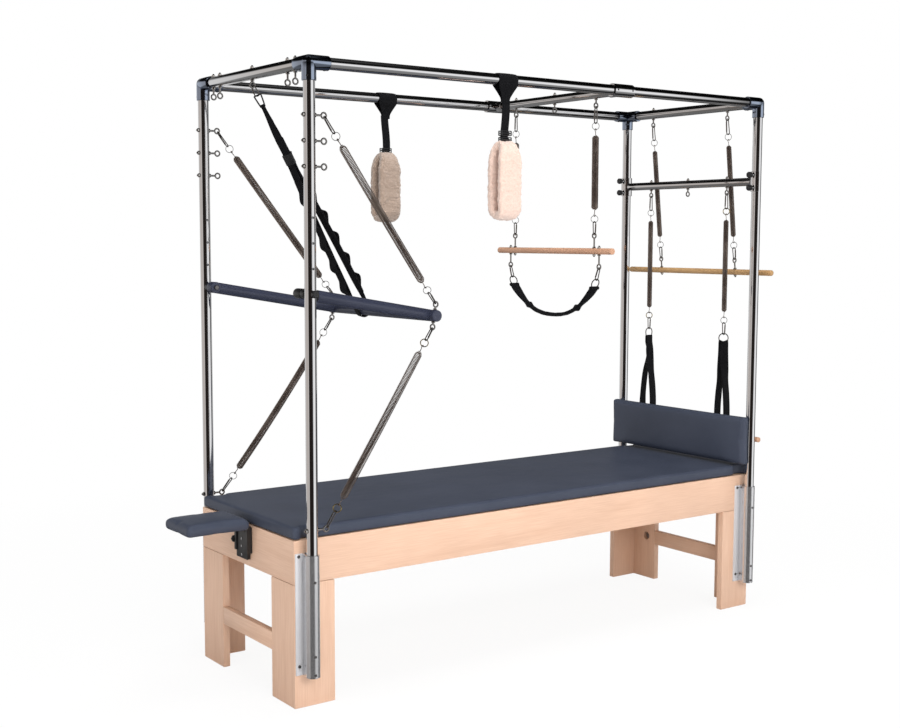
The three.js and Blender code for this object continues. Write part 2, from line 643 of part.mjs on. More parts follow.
// lower crossbar clamped to the right posts, with its knobs
// crossbar between two saddles, each open on the side away from the bed
function lowCrossbar() {
  const ends = [-1, 1];
  const outer = TUBE.radius + FIT + LOW_CROSS.saddleWall;
  const half = LOW_CROSS.saddleHeight / 2;
  const stock = (radius) => alongY(rod(radius, FRAME.width, CROSS.sides)).translate(0, -HALF_WIDTH, 0);
  const saddle = (y) => rod(outer, LOW_CROSS.saddleHeight).translate(0, y * HALF_WIDTH, -half);
  const postBore = (y) => (
    bore(seatRadius(TUBE.radius), LOW_CROSS.saddleHeight).translate(0, y * HALF_WIDTH, -half)
  );
  const opening = outer * Math.cos(THREE.MathUtils.degToRad(SADDLE_GAP_DEGREES) / 2);
  const mouth = (y) => block(outer, 2 * outer, LOW_CROSS.saddleHeight + 2 * OVERRUN)
    .translate(opening + outer / 2, 0, 0).rotateZ(y * QUARTER_TURN / 2).translate(0, y * HALF_WIDTH, 0);
  const levels = ends.flatMap((y) => ends.map((z) => [y * HALF_WIDTH, z * CLAMP_KNOB.pitch / 2]));
  const bossLength = outer + CLAMP_KNOB.boss;
  const bosses = levels.map(([y, z]) => (
    alongX(rod(CLAMP_KNOB.bossRadius, bossLength, CLAMP_KNOB.sides)).rotateZ(HALF_TURN).translate(0, y, z)
  ));
  const threadRadius = turningRadius(CLAMP_KNOB.shank, CLAMP_KNOB.sides);
  const threads = levels.map(([y, z]) => (
    alongX(bore(threadRadius, bossLength, CLAMP_KNOB.sides)).rotateZ(HALF_TURN).translate(0, y, z)
  ));
  const body = fuse(stock(CROSS.radius), ...ends.map(saddle), ...bosses);
  const hollow = stock(CROSS.radius - CROSS.wall);
  const whole = cut(body, hollow, ...ends.map(postBore), ...ends.map(mouth), ...threads);
  const eyes = ends.map((y) => (
    eyebolt(CROSS.radius, LOW_CROSS.eyeReach).translate(0, y * LOW_CROSS.eyeSpread / 2, 0)
  ));
  return fuse(whole, eyebolt(CROSS.radius, LOW_CROSS.eyeReach), ...eyes);
}

function addLowCrossbar() {
  place('crossbar_low', lowCrossbar(), CHROME).position.set(HALF_SPAN, 0, LOW_CROSS_HEIGHT);
  const face = TUBE.radius + FIT + LOW_CROSS.saddleWall + CLAMP_KNOB.boss + FIT;
  for (const [side, y] of SIDES) {
    for (const [level, z] of [['lower', -1], ['upper', 1]]) {
      const shape = knob(CLAMP_KNOB, face - TUBE.radius - FIT).rotateY(-QUARTER_TURN);
      const turn = place(`clamp_knob_${side}_${level}`, shape, BLACK);
      turn.position.set(HALF_SPAN - face, y * HALF_WIDTH, LOW_CROSS_HEIGHT + z * CLAMP_KNOB.pitch / 2);
    }
  }
}

// webbing loop that hangs from a ring, its turn over the ring's wire at the origin
function handLoop() {
  const turn = LOOP.ringWire - BITE;
  const outline = polygon(drop(turn + LOOP.band, LOOP.width / 2, LOOP.length));
  outline.holes.push(polygon(drop(turn, LOOP.width / 2 - LOOP.band, LOOP.length - LOOP.band)));
  return fuse(
    crossSlab(outline, LOOP.webbing),
    alongX(rod(LOOP.ringWire, LOOP.webbing, EYE.steps)).translate(-LOOP.webbing / 2, 0, 0),
    ring(LOOP.ringRadius, LOOP.ringWire, SPLIT_RING.steps).translate(0, 0, LOOP.ringRadius),
  );
}

// closed drop, its turn at the origin and its round foot at -length, drawn in X and Z
function drop(turn, half, length) {
  const steps = [...Array(LOOP.steps + 1).keys()].map((i) => i / LOOP.steps);
  const sideways = (share) => turn + (half - turn) * Math.sin(share * QUARTER_TURN) ** 2;
  const strand = steps.map((share) => [sideways(share), share * (half - length)]);
  const arc = (radius, z, way) => steps.slice(1, -1).map((share) => (
    [way * radius * Math.cos(share * HALF_TURN), z - way * radius * Math.sin(share * HALF_TURN)]
  ));
  const back = strand.map(([x, z]) => [-x, z]).reverse();
  return [...strand, ...arc(half, half - length, 1), ...back, ...arc(turn, 0, -1)];
}

// the loops' feet hang clear of the board behind the headboard, and the springs make up the rest
function addLoops() {
  const ringHang = 2 * LOOP.ringRadius - LOOP.ringWire - SNAP.wire - FIT;
  for (const [side, y] of SIDES) {
    const group = holder(HALF_SPAN, y * LOW_CROSS.eyeSpread / 2, LOOP_EYE - HANG);
    place(`loop_spring_${side}`, springLine(LOOP_DROP - ringHang, SPRING.light), COIL, group);
    place(`hand_loop_${side}`, handLoop(), WEBBING, group).position.z = -LOOP_DROP;
  }
}

// bar on two springs that lean on the lower crossbar
function addRollDown() {
  const group = holder(HALF_SPAN, 0, ROLL_HINGE);
  group.rotation.y = -LEAN;
  for (const [side, y] of SIDES) {
    const spring = place(`rolldown_spring_${side}`, springLine(ROLL_DOWN.span, SPRING.light), COIL, group);
    spring.position.y = y * RIGHT_EYES.spread / 2;
  }
  const eyes = [RIGHT_EYES.spread, ROLL_DOWN.eyeReach];
  const bar = place('rolldown_bar', eyeBar(ROLL_DOWN.barRadius, ROLL_DOWN.barLength, eyes), DOWEL_WOOD, group);
  bar.position.z = -ROLL_DOWN.span - HANG - ROLL_DOWN.eyeReach;
}

// fleece loop on a strap that is wrapped round the top rail, the rail's axis at the origin
function fleeceLoop() {
  const inner = turningRadius(TUBE.radius);
  const outer = inner + FLEECE.wrapBand;
  const ply = FLEECE.wrapBand;
  const wrap = new THREE.Shape();
  wrap.moveTo(-ply, -outer - FLEECE.wrapTail);
  wrap.lineTo(ply, -outer - FLEECE.wrapTail);
  wrap.absarc(0, 0, outer, -WRAP_TAKE_OFF, HALF_TURN + WRAP_TAKE_OFF);
  wrap.closePath();
  const hole = new THREE.Path();
  hole.absarc(0, 0, inner, 0, 2 * HALF_TURN);
  wrap.holes.push(hole);
  const foot = outer + FLEECE.neck;
  const band = new THREE.Shape();
  oval(band, FLEECE.depth / 2, FLEECE.length);
  const gap = new THREE.Path();
  oval(gap, FLEECE.depth / 2 - FLEECE.pile, FLEECE.length - 2 * FLEECE.pile);
  band.holes.push(gap);
  const buckle = block(FLEECE.buckleWidth, FLEECE.buckleDepth, FLEECE.buckleHeight);
  return fuse(
    crossSlab(wrap, FLEECE.wrapWidth, TUBE.sides),
    block(FLEECE.strap, 2 * ply, FLEECE.neck).translate(0, 0, -outer - FLEECE.neck / 2),
    buckle.translate(0, 0, FLEECE.buckleHeight - foot),
    softSlab(band, FLEECE.width, FLEECE.edge, FLEECE.steps).translate(0, 0, -foot - FLEECE.length / 2 + ply),
  );
}

function oval(path, half, length) {
  const straight = length / 2 - half;
  path.absarc(0, straight, half, 0, HALF_TURN);
  path.absarc(0, -straight, half, HALF_TURN, 2 * HALF_TURN);
  path.closePath();
}

function addFleeceLoops() {
  for (const [side, y] of SIDES) {
    const loop = place(`fleece_loop_${side}`, fleeceLoop(), WOOL);
    loop.position.set(-FLEECE.place, y * HALF_WIDTH, FRAME.railHeight);
  }
}

// push-through bar: two arms with bored barrels at the pivot and a crossbar with two-way eyes
function throughBar() {
  const ends = [-1, 1];
  const half = PTB.armSpread / 2;
  const arm = (radius, from) => ends.map((y) => (
    alongX(rod(radius, PTB.reach - from)).translate(from, y * half, 0)
  ));
  const barrel = (y) => (
    alongY(rod(PTB.radius, 2 * PTB.radius, DOWEL_SIDES)).translate(0, y * half - PTB.radius, 0)
  );
  const pinRadius = turningRadius(PIVOT.radius, PIVOT.sides);
  const pin = (y) => (
    alongY(bore(pinRadius, 2 * PTB.radius, PIVOT.sides)).translate(0, y * half - PTB.radius, 0)
  );
  const cross = (radius, length) => alongY(rod(radius, length)).translate(PTB.reach, -length / 2, 0);
  const hollow = PTB.radius - PTB.wall;
  const tube = cut(
    fuse(cross(PTB.radius, PTB.barLength), ...arm(PTB.radius, 0), ...ends.map(barrel)),
    fuse(cross(hollow, PTB.barLength - 2 * PTB.endWall), ...arm(hollow, 0)),
    ...ends.map(pin),
  );
  const eyes = ends.flatMap((y) => [0, HALF_TURN].flatMap((turn) => (
    eye(PTB.radius, PTB.eyeReach)
      .map((piece) => piece.rotateY(turn).translate(PTB.reach, y * PTB.eyeSpread / 2, 0))
  )));
  return fuse(tube, ...eyes);
}

// safety strap hanging from its ring at the origin to the axis of the tube at -length: one
// band, a buckle, then two strands with pockets that meet in a turn round the tube
function safetyStrap(length) {
  const loop = PTB.radius + SAFETY.wrapGap;
  const halfGap = (s) => {
    const share = Math.min(1, Math.max(0, (s - SAFETY.fork) / (length - SAFETY.fork)));
    return loop * Math.sin(share * QUARTER_TURN);
  };
  const swell = (s) => {
    const along = Math.abs((s - SAFETY.firstPocket + SAFETY.pitch / 2) % SAFETY.pitch - SAFETY.pitch / 2);
    const last = SAFETY.firstPocket + SAFETY.pitch * (SAFETY.pockets - 1) + SAFETY.pitch / 2;
    const inside = s > SAFETY.firstPocket - SAFETY.pitch / 2 && s < last && along < SAFETY.pocketLength / 2;
    return inside ? SAFETY.bulge * Math.cos(along / SAFETY.pocketLength * HALF_TURN) : 0;
  };
  const strip = (from, to, pitch, at) => {
    const count = Math.ceil((to - from) / pitch);
    return [...Array(count + 1).keys()].map((i) => at(from + (to - from) * i / count));
  };
  const pitch = SAFETY.pocketLength / SAFETY.points;
  const side = strip(SAFETY.fork, length, pitch, (s) => [halfGap(s) + SAFETY.ply + swell(s), -s]);
  const turn = (radius, count) => [...Array(count - 1).keys()].map((i) => {
    const angle = HALF_TURN * (i + 1) / count;
    return [radius * Math.cos(angle), -length - radius * Math.sin(angle)];
  });
  const mirrored = (points) => points.map(([x, z]) => [-x, z]).reverse();
  const outline = polygon([...side, ...turn(loop + SAFETY.ply, SAFETY.turns), ...mirrored(side)]);
  const inner = strip(SAFETY.fork + SAFETY.buckle, length, pitch, (s) => [halfGap(s), -s]);
  outline.holes.push(polygon([...inner, ...turn(loop, SAFETY.turns), ...mirrored(inner)]));
  for (let i = 0; i < SAFETY.pockets; i += 1) {
    const middle = SAFETY.firstPocket + SAFETY.pitch * i;
    const reach = SAFETY.pocketLength / 2 - SAFETY.ply;
    const pocketEdge = (depth) => (
      strip(middle - reach, middle + reach, pitch, (s) => [halfGap(s) + depth(s), -s])
    );
    const outer = pocketEdge((s) => Math.max(swell(s), SAFETY.ply));
    const root = pocketEdge(() => SAFETY.ply).reverse();
    const pocket = [...outer.slice(1, -1), ...root];
    outline.holes.push(polygon(pocket), polygon(mirrored(pocket)));
  }
  const band = block(2 * SAFETY.ply, SAFETY.band, SAFETY.fork - SAFETY.ringLength + 2 * SAFETY.ringWire);
  return fuse(
    link(SAFETY.ringWidth, SAFETY.ringLength, SAFETY.ringWire),
    band.translate(0, 0, -(SAFETY.fork + SAFETY.ringLength) / 2 + 2 * SAFETY.ringWire - SAFETY.ringWire),
    block(SAFETY.buckleDepth, SAFETY.ringWidth, SAFETY.buckle).translate(0, 0, -SAFETY.fork),
    slab(outline, SAFETY.band),
  );
}

// the bar, its four springs from the post eyes and its strap, at the angle of rest
function addThroughBar() {
  const pivot = holder(-HALF_SPAN, 0, PIVOT_HEIGHT);
  pivot.rotation.y = DROOP;
  place('push_through_bar', throughBar(), SLATE, pivot);
  const onBar = (x, y, z) => new THREE.Vector3(x, 0, z).applyEuler(pivot.rotation).add(pivot.position).setY(y);
  for (const [side, y] of SIDES) {
    for (const [level, height, z] of [['upper', LADDER_TOP, 1], ['lower', LADDER_LOW, -1]]) {
      const from = new THREE.Vector3(LADDER.eyeReach - HALF_SPAN, y * HALF_WIDTH, height);
      const to = onBar(PTB.reach, y * PTB.eyeSpread / 2, z * PTB.eyeReach);
      const way = to.clone().sub(from);
      const span = way.length() - 2 * HANG;
      const spring = place(`through_spring_${side}_${level}`, springLine(span, SPRING.heavy), COIL);
      aim(spring, from.addScaledVector(way.normalize(), HANG), to);
    }
  }
  const from = new THREE.Vector3(-HALF_SPAN, 0, FRAME.railHeight - LEFT_EYES.middleReach);
  const to = onBar(PTB.reach, SAFETY.sideways, 0);
  const way = to.clone().sub(from);
  const reach = hang(EYE.ring, EYE.wire, SAFETY.ringWire);
  const strap = place('safety_strap', safetyStrap(way.length() - reach), WEBBING);
  aim(strap, from.addScaledVector(way.normalize(), reach), to);
}

// end boards: headboard with its backer, cleats and dowel, and the adjustable rest
function headboardPad() {
  const size = { length: HEADBOARD.height, width: HEADBOARD.length, height: HEADBOARD.thickness };
  return cushion({ ...HEADBOARD, ...size }, [4, 8, 4]).rotateY(-QUARTER_TURN);
}

// cleats reach out past the posts and hold the dowel, and between them the board is cut low
// so that the hand loops can swing behind the pad
function headboardBacker() {
  const reach = DOWEL_PLACE - PAD_BACK + DOWEL.radius + CLEAT.wall;
  const cleat = (y) => block(reach, CLEAT.width, CLEAT.height).translate(reach / 2, y * CLEAT.spread / 2, 0);
  const level = DOWEL_HEIGHT - BACKER_TOP + BACKER.height / 2;
  const board = block(BACKER.thickness, BACKER.length, BACKER.height).translate(BACKER.thickness / 2, 0, -level);
  const recess = block(2 * (BACKER.thickness + OVERRUN), BACKER.recess, 2 * BACKER.recessDepth)
    .translate(0, 0, BACKER.height / 2 - level);
  const seatBore = alongY(bore(seatRadius(DOWEL.radius, DOWEL_SIDES), BACKER.length, DOWEL_SIDES))
    .translate(DOWEL_PLACE - PAD_BACK, -BACKER.length / 2, 0);
  return cut(fuse(board, cleat(-1), cleat(1)), seatBore, recess);
}

function addHeadboard() {
  const pad = place('headboard_pad', headboardPad(), VINYL);
  pad.position.set(PAD_BACK - HEADBOARD.thickness / 2, 0, MAT_TOP + HEADBOARD.lift + HEADBOARD.height / 2);
  const backer = place('headboard_backer', headboardBacker(), PLYWOOD);
  backer.position.set(PAD_BACK + FIT, 0, DOWEL_HEIGHT);
  const dowel = place('headboard_dowel', alongY(rod(DOWEL.radius, DOWEL.length, DOWEL_SIDES)), DOWEL_WOOD);
  dowel.position.set(DOWEL_PLACE + FIT, -DOWEL.length / 2, DOWEL_HEIGHT);
}

// receiver with a tongue along each edge, drawn with the wood at X = 0
function restPlate() {
  const half = REST_PLATE.width / 2;
  const front = REST_PLATE.thickness;
  const step = front - REST_PLATE.tongue;
  const wide = half + REST_PLATE.tongueDepth;
  return prism(polygon([
    [0, -half], [step, -half], [step, -wide], [front, -wide],
    [front, wide], [step, wide], [step, half], [0, half],
  ]), REST_PLATE.height);
}

// fork whose grooved legs slide on the tongues, under a shelf for the pad
function restArm() {
  const inner = REST_PLATE.width / 2 + FIT;
  const outer = inner + REST_LEG.width;
  const height = REST.rise - REST.height + REST_LEG.drop - FIT;
  const step = REST_PLATE.thickness - REST_PLATE.tongue - 2 * FIT;
  const tongueTip = inner + REST_PLATE.tongueDepth;
  const legs = [-1, 1].map((y) => prism(polygon([
    [0, y * inner], [step, y * inner], [step, y * tongueTip], [REST_PLATE.thickness, y * tongueTip],
    [REST_PLATE.thickness, y * inner], [REST_LEG.depth, y * inner], [REST_LEG.depth, y * outer], [0, y * outer],
  ]), height));
  const shelfLength = REST.gap + REST.length - REST.armInset;
  const shelf = block(shelfLength, 2 * outer, REST.arm).translate(shelfLength / 2, 0, height - REST.arm / 2);
  const tap = alongY(bore(turningRadius(REST_KNOB.shank, REST_KNOB.sides), REST_LEG.width, REST_KNOB.sides));
  tap.translate(REST_PLATE.thickness - REST_PLATE.tongue / 2 - FIT, -outer, REST_LEG.drop - REST_KNOB.drop);
  return cut(fuse(...legs, shelf), tap);
}

function addRest() {
  const end = holder(-BASE.length / 2 - FIT, 0, 0);
  end.rotation.z = HALF_TURN;
  place('rest_plate', restPlate(), BLACK, end).position.z = BASE.top - REST_PLATE.drop;
  place('rest_arm', restArm(), BLACK, end).position.set(FIT, 0, BASE.top - REST_LEG.drop);
  const pad = place('rest_pad', cushion(REST, [4, 4, 4]), VINYL, end);
  pad.position.set(REST.gap + REST.length / 2, 0, BASE.top + REST.rise - REST.height / 2);
  const face = REST_PLATE.width / 2 + REST_LEG.width + 2 * FIT;
  const shape = knob(REST_KNOB, REST_LEG.width - REST_PLATE.tongueDepth - FIT).rotateX(QUARTER_TURN);
  const turn = place('rest_knob', shape, BLACK, end);
  turn.position.set(REST_PLATE.thickness - REST_PLATE.tongue / 2, -face, BASE.top - REST_KNOB.drop);
}

addBed();
addCanopy();
addTrapeze();
addLowCrossbar();
addLoops();
addRollDown();
addFleeceLoops();
addThroughBar();
addHeadboard();
addRest();

// origin under the middle of the whole outline
const bounds = new THREE.Box3().setFromObject(model, true);
model.position.x = -(bounds.min.x + bounds.max.x) / 2;

export default model;
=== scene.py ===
import math

import bmesh
import bpy
import numpy as np
from mathutils import Matrix, Vector, geometry, noise


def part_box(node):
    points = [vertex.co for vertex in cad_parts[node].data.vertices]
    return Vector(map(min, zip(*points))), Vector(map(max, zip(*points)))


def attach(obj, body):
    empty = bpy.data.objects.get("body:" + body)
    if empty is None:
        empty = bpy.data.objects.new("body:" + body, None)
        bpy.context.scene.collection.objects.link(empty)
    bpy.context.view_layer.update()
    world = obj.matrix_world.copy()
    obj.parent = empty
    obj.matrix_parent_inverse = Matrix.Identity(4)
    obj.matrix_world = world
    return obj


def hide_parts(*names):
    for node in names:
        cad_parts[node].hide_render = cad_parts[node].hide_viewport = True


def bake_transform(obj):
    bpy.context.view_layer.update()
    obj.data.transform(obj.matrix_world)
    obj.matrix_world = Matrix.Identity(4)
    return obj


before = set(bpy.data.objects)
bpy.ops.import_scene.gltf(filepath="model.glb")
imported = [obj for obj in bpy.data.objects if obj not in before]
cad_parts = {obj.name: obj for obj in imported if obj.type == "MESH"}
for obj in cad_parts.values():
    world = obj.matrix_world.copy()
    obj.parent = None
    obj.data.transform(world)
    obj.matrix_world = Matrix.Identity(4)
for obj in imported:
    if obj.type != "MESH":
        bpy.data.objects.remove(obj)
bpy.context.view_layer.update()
print("frame loaded:", len(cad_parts), "nodes")

halfTurn = math.pi
quarterTurn = math.pi / 2

deckLow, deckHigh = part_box("deck_panel")
midX = (deckLow.x + deckHigh.x) / 2  # middle of the bed; pieces are drawn from here
ends = (("left", -1), ("right", 1))
sides = (("front", -1), ("back", 1))

# camera at the photograph's place
view = {"place": (-3.15205, -4.2122, 1.6046), "yaw": .6255, "pitch": .0944, "roll": .0029, "lens": 52.66}


def addCamera():
    yaw, pitch, roll = view["yaw"], view["pitch"], view["roll"]
    forward = Vector((math.sin(yaw) * math.cos(pitch), math.cos(yaw) * math.cos(pitch), -math.sin(pitch)))
    level = Vector((math.cos(yaw), -math.sin(yaw), 0))
    above = level.cross(forward)
    right = level * math.cos(roll) + above * math.sin(roll)
    up = above * math.cos(roll) - level * math.sin(roll)
    camera = bpy.data.objects.new("camera", bpy.data.cameras.new("camera"))
    camera.data.lens = view["lens"]
    camera.data.clip_end = 60
    camera.matrix_world = Matrix((right, up, -forward)).transposed().to_4x4()
    camera.location = view["place"]
    bpy.context.scene.collection.objects.link(camera)
    bpy.context.scene.camera = camera


addCamera()
print("camera set")


# shapes: points, faces and the place of each point along and across a strap
def shapeOf(points, faces, weave=None):
    points = np.array(points, float).reshape(-1, 3)
    return {"points": points, "faces": faces, "weave": np.zeros(points.shape) if weave is None else weave}


def moved(shape, matrix):
    m = np.array(matrix)
    return {**shape, "points": shape["points"] @ m[:3, :3].T + m[:3, 3]}


def joined(*shapes):
    faces, start = [], 0
    for shape in shapes:
        faces += [[i + start for i in face] for face in shape["faces"]]
        start += len(shape["points"])
    return shapeOf(np.vstack([s["points"] for s in shapes]), faces, np.vstack([s["weave"] for s in shapes]))


def shift(x=0, y=0, z=0):
    return Matrix.Translation((x, y, z))


def turn(angle, axis):
    return Matrix.Rotation(angle, 4, axis)


def between(start, end):
    way = Vector(end) - Vector(start)
    return Matrix.Translation(start) @ way.to_track_quat("Z", "Y").to_matrix().to_4x4()


def ringPoints(radius, count):
    angles = [2 * halfTurn * i / count for i in range(count)]
    return [(radius * math.cos(a), radius * math.sin(a)) for a in angles]


# section carried along a path; across fixes the section's first axis
def swept(path, section, across, closed=False, sizes=None):
    path = np.array([tuple(p) for p in path], float)
    section = np.array(section, float)
    count, around = len(path), len(section)
    if closed:
        along = np.roll(path, -1, 0) - np.roll(path, 1, 0)
    else:
        along = np.vstack([path[1:], path[-1:]]) - np.vstack([path[:1], path[:-1]])
    along /= np.maximum(np.linalg.norm(along, axis=1)[:, None], 1e-12)
    if across is None:
        side = np.zeros((count, 3))
        start = np.cross(along[0], (0, 0, 1) if abs(along[0][2]) < .9 else (1, 0, 0))
        for i in range(count):
            start = start - along[i] * np.dot(start, along[i])
            start = start / np.linalg.norm(start)
            side[i] = start
    else:
        side = np.broadcast_to(np.array(across, float), (count, 3)).copy()
        side -= along * np.sum(side * along, axis=1)[:, None]
        side /= np.linalg.norm(side, axis=1)[:, None]
    top = np.cross(side, along)
    scales = np.ones((count, 2)) if sizes is None else np.array(sizes, float).reshape(count, 2)
    points = (path[:, None] + side[:, None] * section[None, :, 0, None] * scales[:, None, 0, None]
              + top[:, None] * section[None, :, 1, None] * scales[:, None, 1, None])
    faces = []
    for i in range(count if closed else count - 1):
        a, b = i * around, (i + 1) % count * around
        faces += [[a + j, a + (j + 1) % around, b + (j + 1) % around, b + j] for j in range(around)]
    if not closed:
        faces += [list(range(around))[::-1], list(range((count - 1) * around, count * around))]
    steps = np.linalg.norm(np.diff(path, axis=0), axis=1)
    length = np.concatenate([[0], np.cumsum(steps)])
    weave = np.zeros((count, around, 3))
    weave[:, :, 0] = section[None, :, 0]
    weave[:, :, 1] = length[:, None]
    weave[:, :, 2] = section[None, :, 1]
    return shapeOf(points, faces, weave.reshape(-1, 3))


def wire(path, radius, count, closed=False, across=None):
    return swept(path, ringPoints(radius, count), across, closed)


def turnedShape(profile, count):
    points, faces, rows = [], [], []
    for radius, z in profile:
        if radius < 1e-9:
            rows.append([len(points)])
            points.append((0, 0, z))
        else:
            rows.append(list(range(len(points), len(points) + count)))
            points += [(x, y, z) for x, y in ringPoints(radius, count)]
    for low, high in zip(rows, rows[1:]):
        for i in range(count):
            j = (i + 1) % count
            face = [low[i % len(low)], low[j % len(low)], high[j % len(high)], high[i % len(high)]]
            faces.append([v for k, v in enumerate(face) if v not in face[:k]])
    return shapeOf(points, [f for f in faces if len(f) > 2])


def rod(start, end, radius, edge, count):
    length = (Vector(end) - Vector(start)).length
    soft = [(radius - edge * (1 - math.sin(a)), edge * (1 - math.cos(a))) for a in (0, .5, 1.05, quarterTurn)]
    profile = [(0, 0)] + (soft if edge else [(radius, 0)])
    profile += [(r, length - z) for r, z in reversed(profile)]
    return moved(turnedShape(profile, count), between(start, end))


def torus(radius, thick, place, normal, count, around):
    basis = Vector(normal).to_track_quat("Z", "Y").to_matrix()
    path = [Vector(place) + basis @ Vector((x, y, 0)) for x, y in ringPoints(radius, count)]
    return wire(path, thick, around, True, normal)


def fromBmesh(edit):
    edit.verts.ensure_lookup_table()
    shape = shapeOf([tuple(v.co) for v in edit.verts], [[v.index for v in f.verts] for f in edit.faces])
    edit.free()
    return shape


def block(low, high, edge, segments=2):
    low, high = Vector(low), Vector(high)
    edit = bmesh.new()
    place = Matrix.Translation((low + high) / 2) @ Matrix.Diagonal((*(high - low), 1))
    bmesh.ops.create_cube(edit, size=1, matrix=place)
    bmesh.ops.bevel(edit, geom=edit.edges[:], offset=edge, segments=segments, profile=.5, affect="EDGES")
    edit.verts.index_update()
    return fromBmesh(edit)


# outline in X and Y with holes, raised along Z, its outer edges eased
def prism(outline, height, holes, edge):
    loops = [outline, *holes]
    flat = [Vector((x, y, 0)) for loop in loops for x, y in loop]
    triangles = geometry.tessellate_polygon([[Vector((x, y, 0)) for x, y in loop] for loop in loops])
    inset = []
    for k, loop in enumerate(loops):
        area = sum(a[0] * b[1] - b[0] * a[1] for a, b in zip(loop, loop[1:] + loop[:1]))
        way = (1 if area > 0 else -1) * (1 if k == 0 else -1)
        for i, here in enumerate(loop):
            before, after = Vector(loop[i - 1]), Vector(loop[(i + 1) % len(loop)])
            a = (Vector(here) - before).normalized()
            b = (after - Vector(here)).normalized()
            normal = Vector((-(a.y + b.y), a.x + b.x))
            normal = normal.normalized() if normal.length > 1e-6 else Vector((-a.y, a.x))
            inset.append(Vector(here) + normal * edge * way)
    count = len(flat)
    rows = [(inset, 0), ([p.xy for p in flat], edge), ([p.xy for p in flat], height - edge), (inset, height)]
    points = [(p.x, p.y, z) for row, z in rows for p in row]
    faces = [list(t)[::-1] for t in triangles] + [[i + 3 * count for i in t] for t in triangles]
    start = 0
    for loop in loops:
        for row in range(3):
            a, b = row * count + start, (row + 1) * count + start
            after = [(i + 1) % len(loop) for i in range(len(loop))]
            faces += [[a + i, a + j, b + j, b + i] for i, j in enumerate(after)]
        start += len(loop)
    return shapeOf(points, faces)


# mesh object of a shape, put where the CAD has its bed
def addObject(name, shape):
    mesh = bpy.data.meshes.new(name)
    mesh.from_pydata((shape["points"] + (midX, 0, 0)).tolist(), [], shape["faces"])
    edit = bmesh.new()
    edit.from_mesh(mesh)
    bmesh.ops.recalc_face_normals(edit, faces=edit.faces)
    edit.to_mesh(mesh)
    edit.free()
    mesh.attributes.new("weave", "FLOAT_VECTOR", "POINT").data.foreach_set("vector", shape["weave"].ravel())
    piece = bpy.data.objects.new(name, mesh)
    bpy.context.scene.collection.objects.link(piece)
    return piece


# modifiers worked into the mesh
def settle(piece):
    ready = piece.evaluated_get(bpy.context.evaluated_depsgraph_get())
    mesh = bpy.data.meshes.new_from_object(ready)
    piece.modifiers.clear()
    piece.data = mesh


def carve(piece, cuts):
    tools = [addObject("tool", shape) for shape in cuts]
    for tool in tools:
        modifier = piece.modifiers.new("cut", "BOOLEAN")
        modifier.object = tool
    settle(piece)
    for tool in tools:
        bpy.data.objects.remove(tool)


# a piece in one finish that rides on its body, or, given a blend, stays unparented where it is drawn
def addPiece(name, shape, finish, body, node=None, angle=38, blend=None, cuts=()):
    piece = addObject(name, shape)
    if cuts:
        carve(piece, cuts)
    mesh = piece.data
    mesh.materials.clear()
    mesh.materials.append(finish)
    mesh.shade_smooth()
    mesh.set_sharp_from_angle(angle=math.radians(angle))
    if blend:
        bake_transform(piece)
    else:
        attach(piece, body)
    if node:
        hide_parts(node)
    return piece


def nodeBox(node):
    low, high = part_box(node)
    return low - Vector((midX, 0, 0)), high - Vector((midX, 0, 0))


# materials: a kit holds one material's nodes, links and shader
def newKit(name, sockets=None):
    material = bpy.data.materials.new(name)
    material.use_nodes = True
    tree = material.node_tree
    shader = tree.nodes["Principled BSDF"]
    for key, value in (sockets or {}).items():
        shader.inputs[key].default_value = value
    return {"material": material, "nodes": tree.nodes, "links": tree.links, "shader": shader}


# a node, its inputs set to values or linked to other nodes
def addNode(kit, kind, inputs=None, **settings):
    node = kit["nodes"].new("ShaderNode" + kind)
    for key, value in settings.items():
        setattr(node, key, value)
    for key, value in (inputs or {}).items():
        if isinstance(value, bpy.types.Node):
            value = value.outputs[0]
        if isinstance(value, bpy.types.NodeSocket):
            kit["links"].new(value, node.inputs[key])
        else:
            node.inputs[key].default_value = value
    return node


def rampOf(kit, factor, stops, interpolation="LINEAR"):
    ramp = addNode(kit, "ValToRGB", {"Fac": factor})
    while len(ramp.color_ramp.elements) < len(stops):
        ramp.color_ramp.elements.new(.5)
    for element, (place, colour) in zip(ramp.color_ramp.elements, stops):
        element.position = place
        element.color = (*colour, 1)
    ramp.color_ramp.interpolation = interpolation
    return ramp.outputs["Color"]


def grey(value):
    return value, value, value


def dimmed(colour, share):
    return tuple(c * share for c in colour)


def placed(kit, scale, weave=False):
    if weave:
        source = addNode(kit, "Attribute", attribute_name="weave").outputs["Vector"]
    else:
        source = addNode(kit, "TexCoord").outputs["Object"]
    return addNode(kit, "Mapping", {"Vector": source, "Scale": scale})


def noiseOf(kit, vector, scale, detail, distortion=0.0):
    inputs = {"Vector": vector, "Scale": scale, "Detail": detail, "Distortion": distortion}
    return addNode(kit, "TexNoise", inputs).outputs["Fac"]


def waveOf(kit, vector, scale, distortion, detail, direction):
    inputs = {"Vector": vector, "Scale": scale, "Distortion": distortion, "Detail": detail}
    return addNode(kit, "TexWave", inputs, bands_direction=direction).outputs["Fac"]


def mixedColour(kit, factor, first, second, kind="MIX"):
    first, second = [(*c, 1) if isinstance(c, tuple) else c for c in (first, second)]
    return addNode(kit, "Mix", {0: factor, 6: first, 7: second}, data_type="RGBA", blend_type=kind).outputs[2]


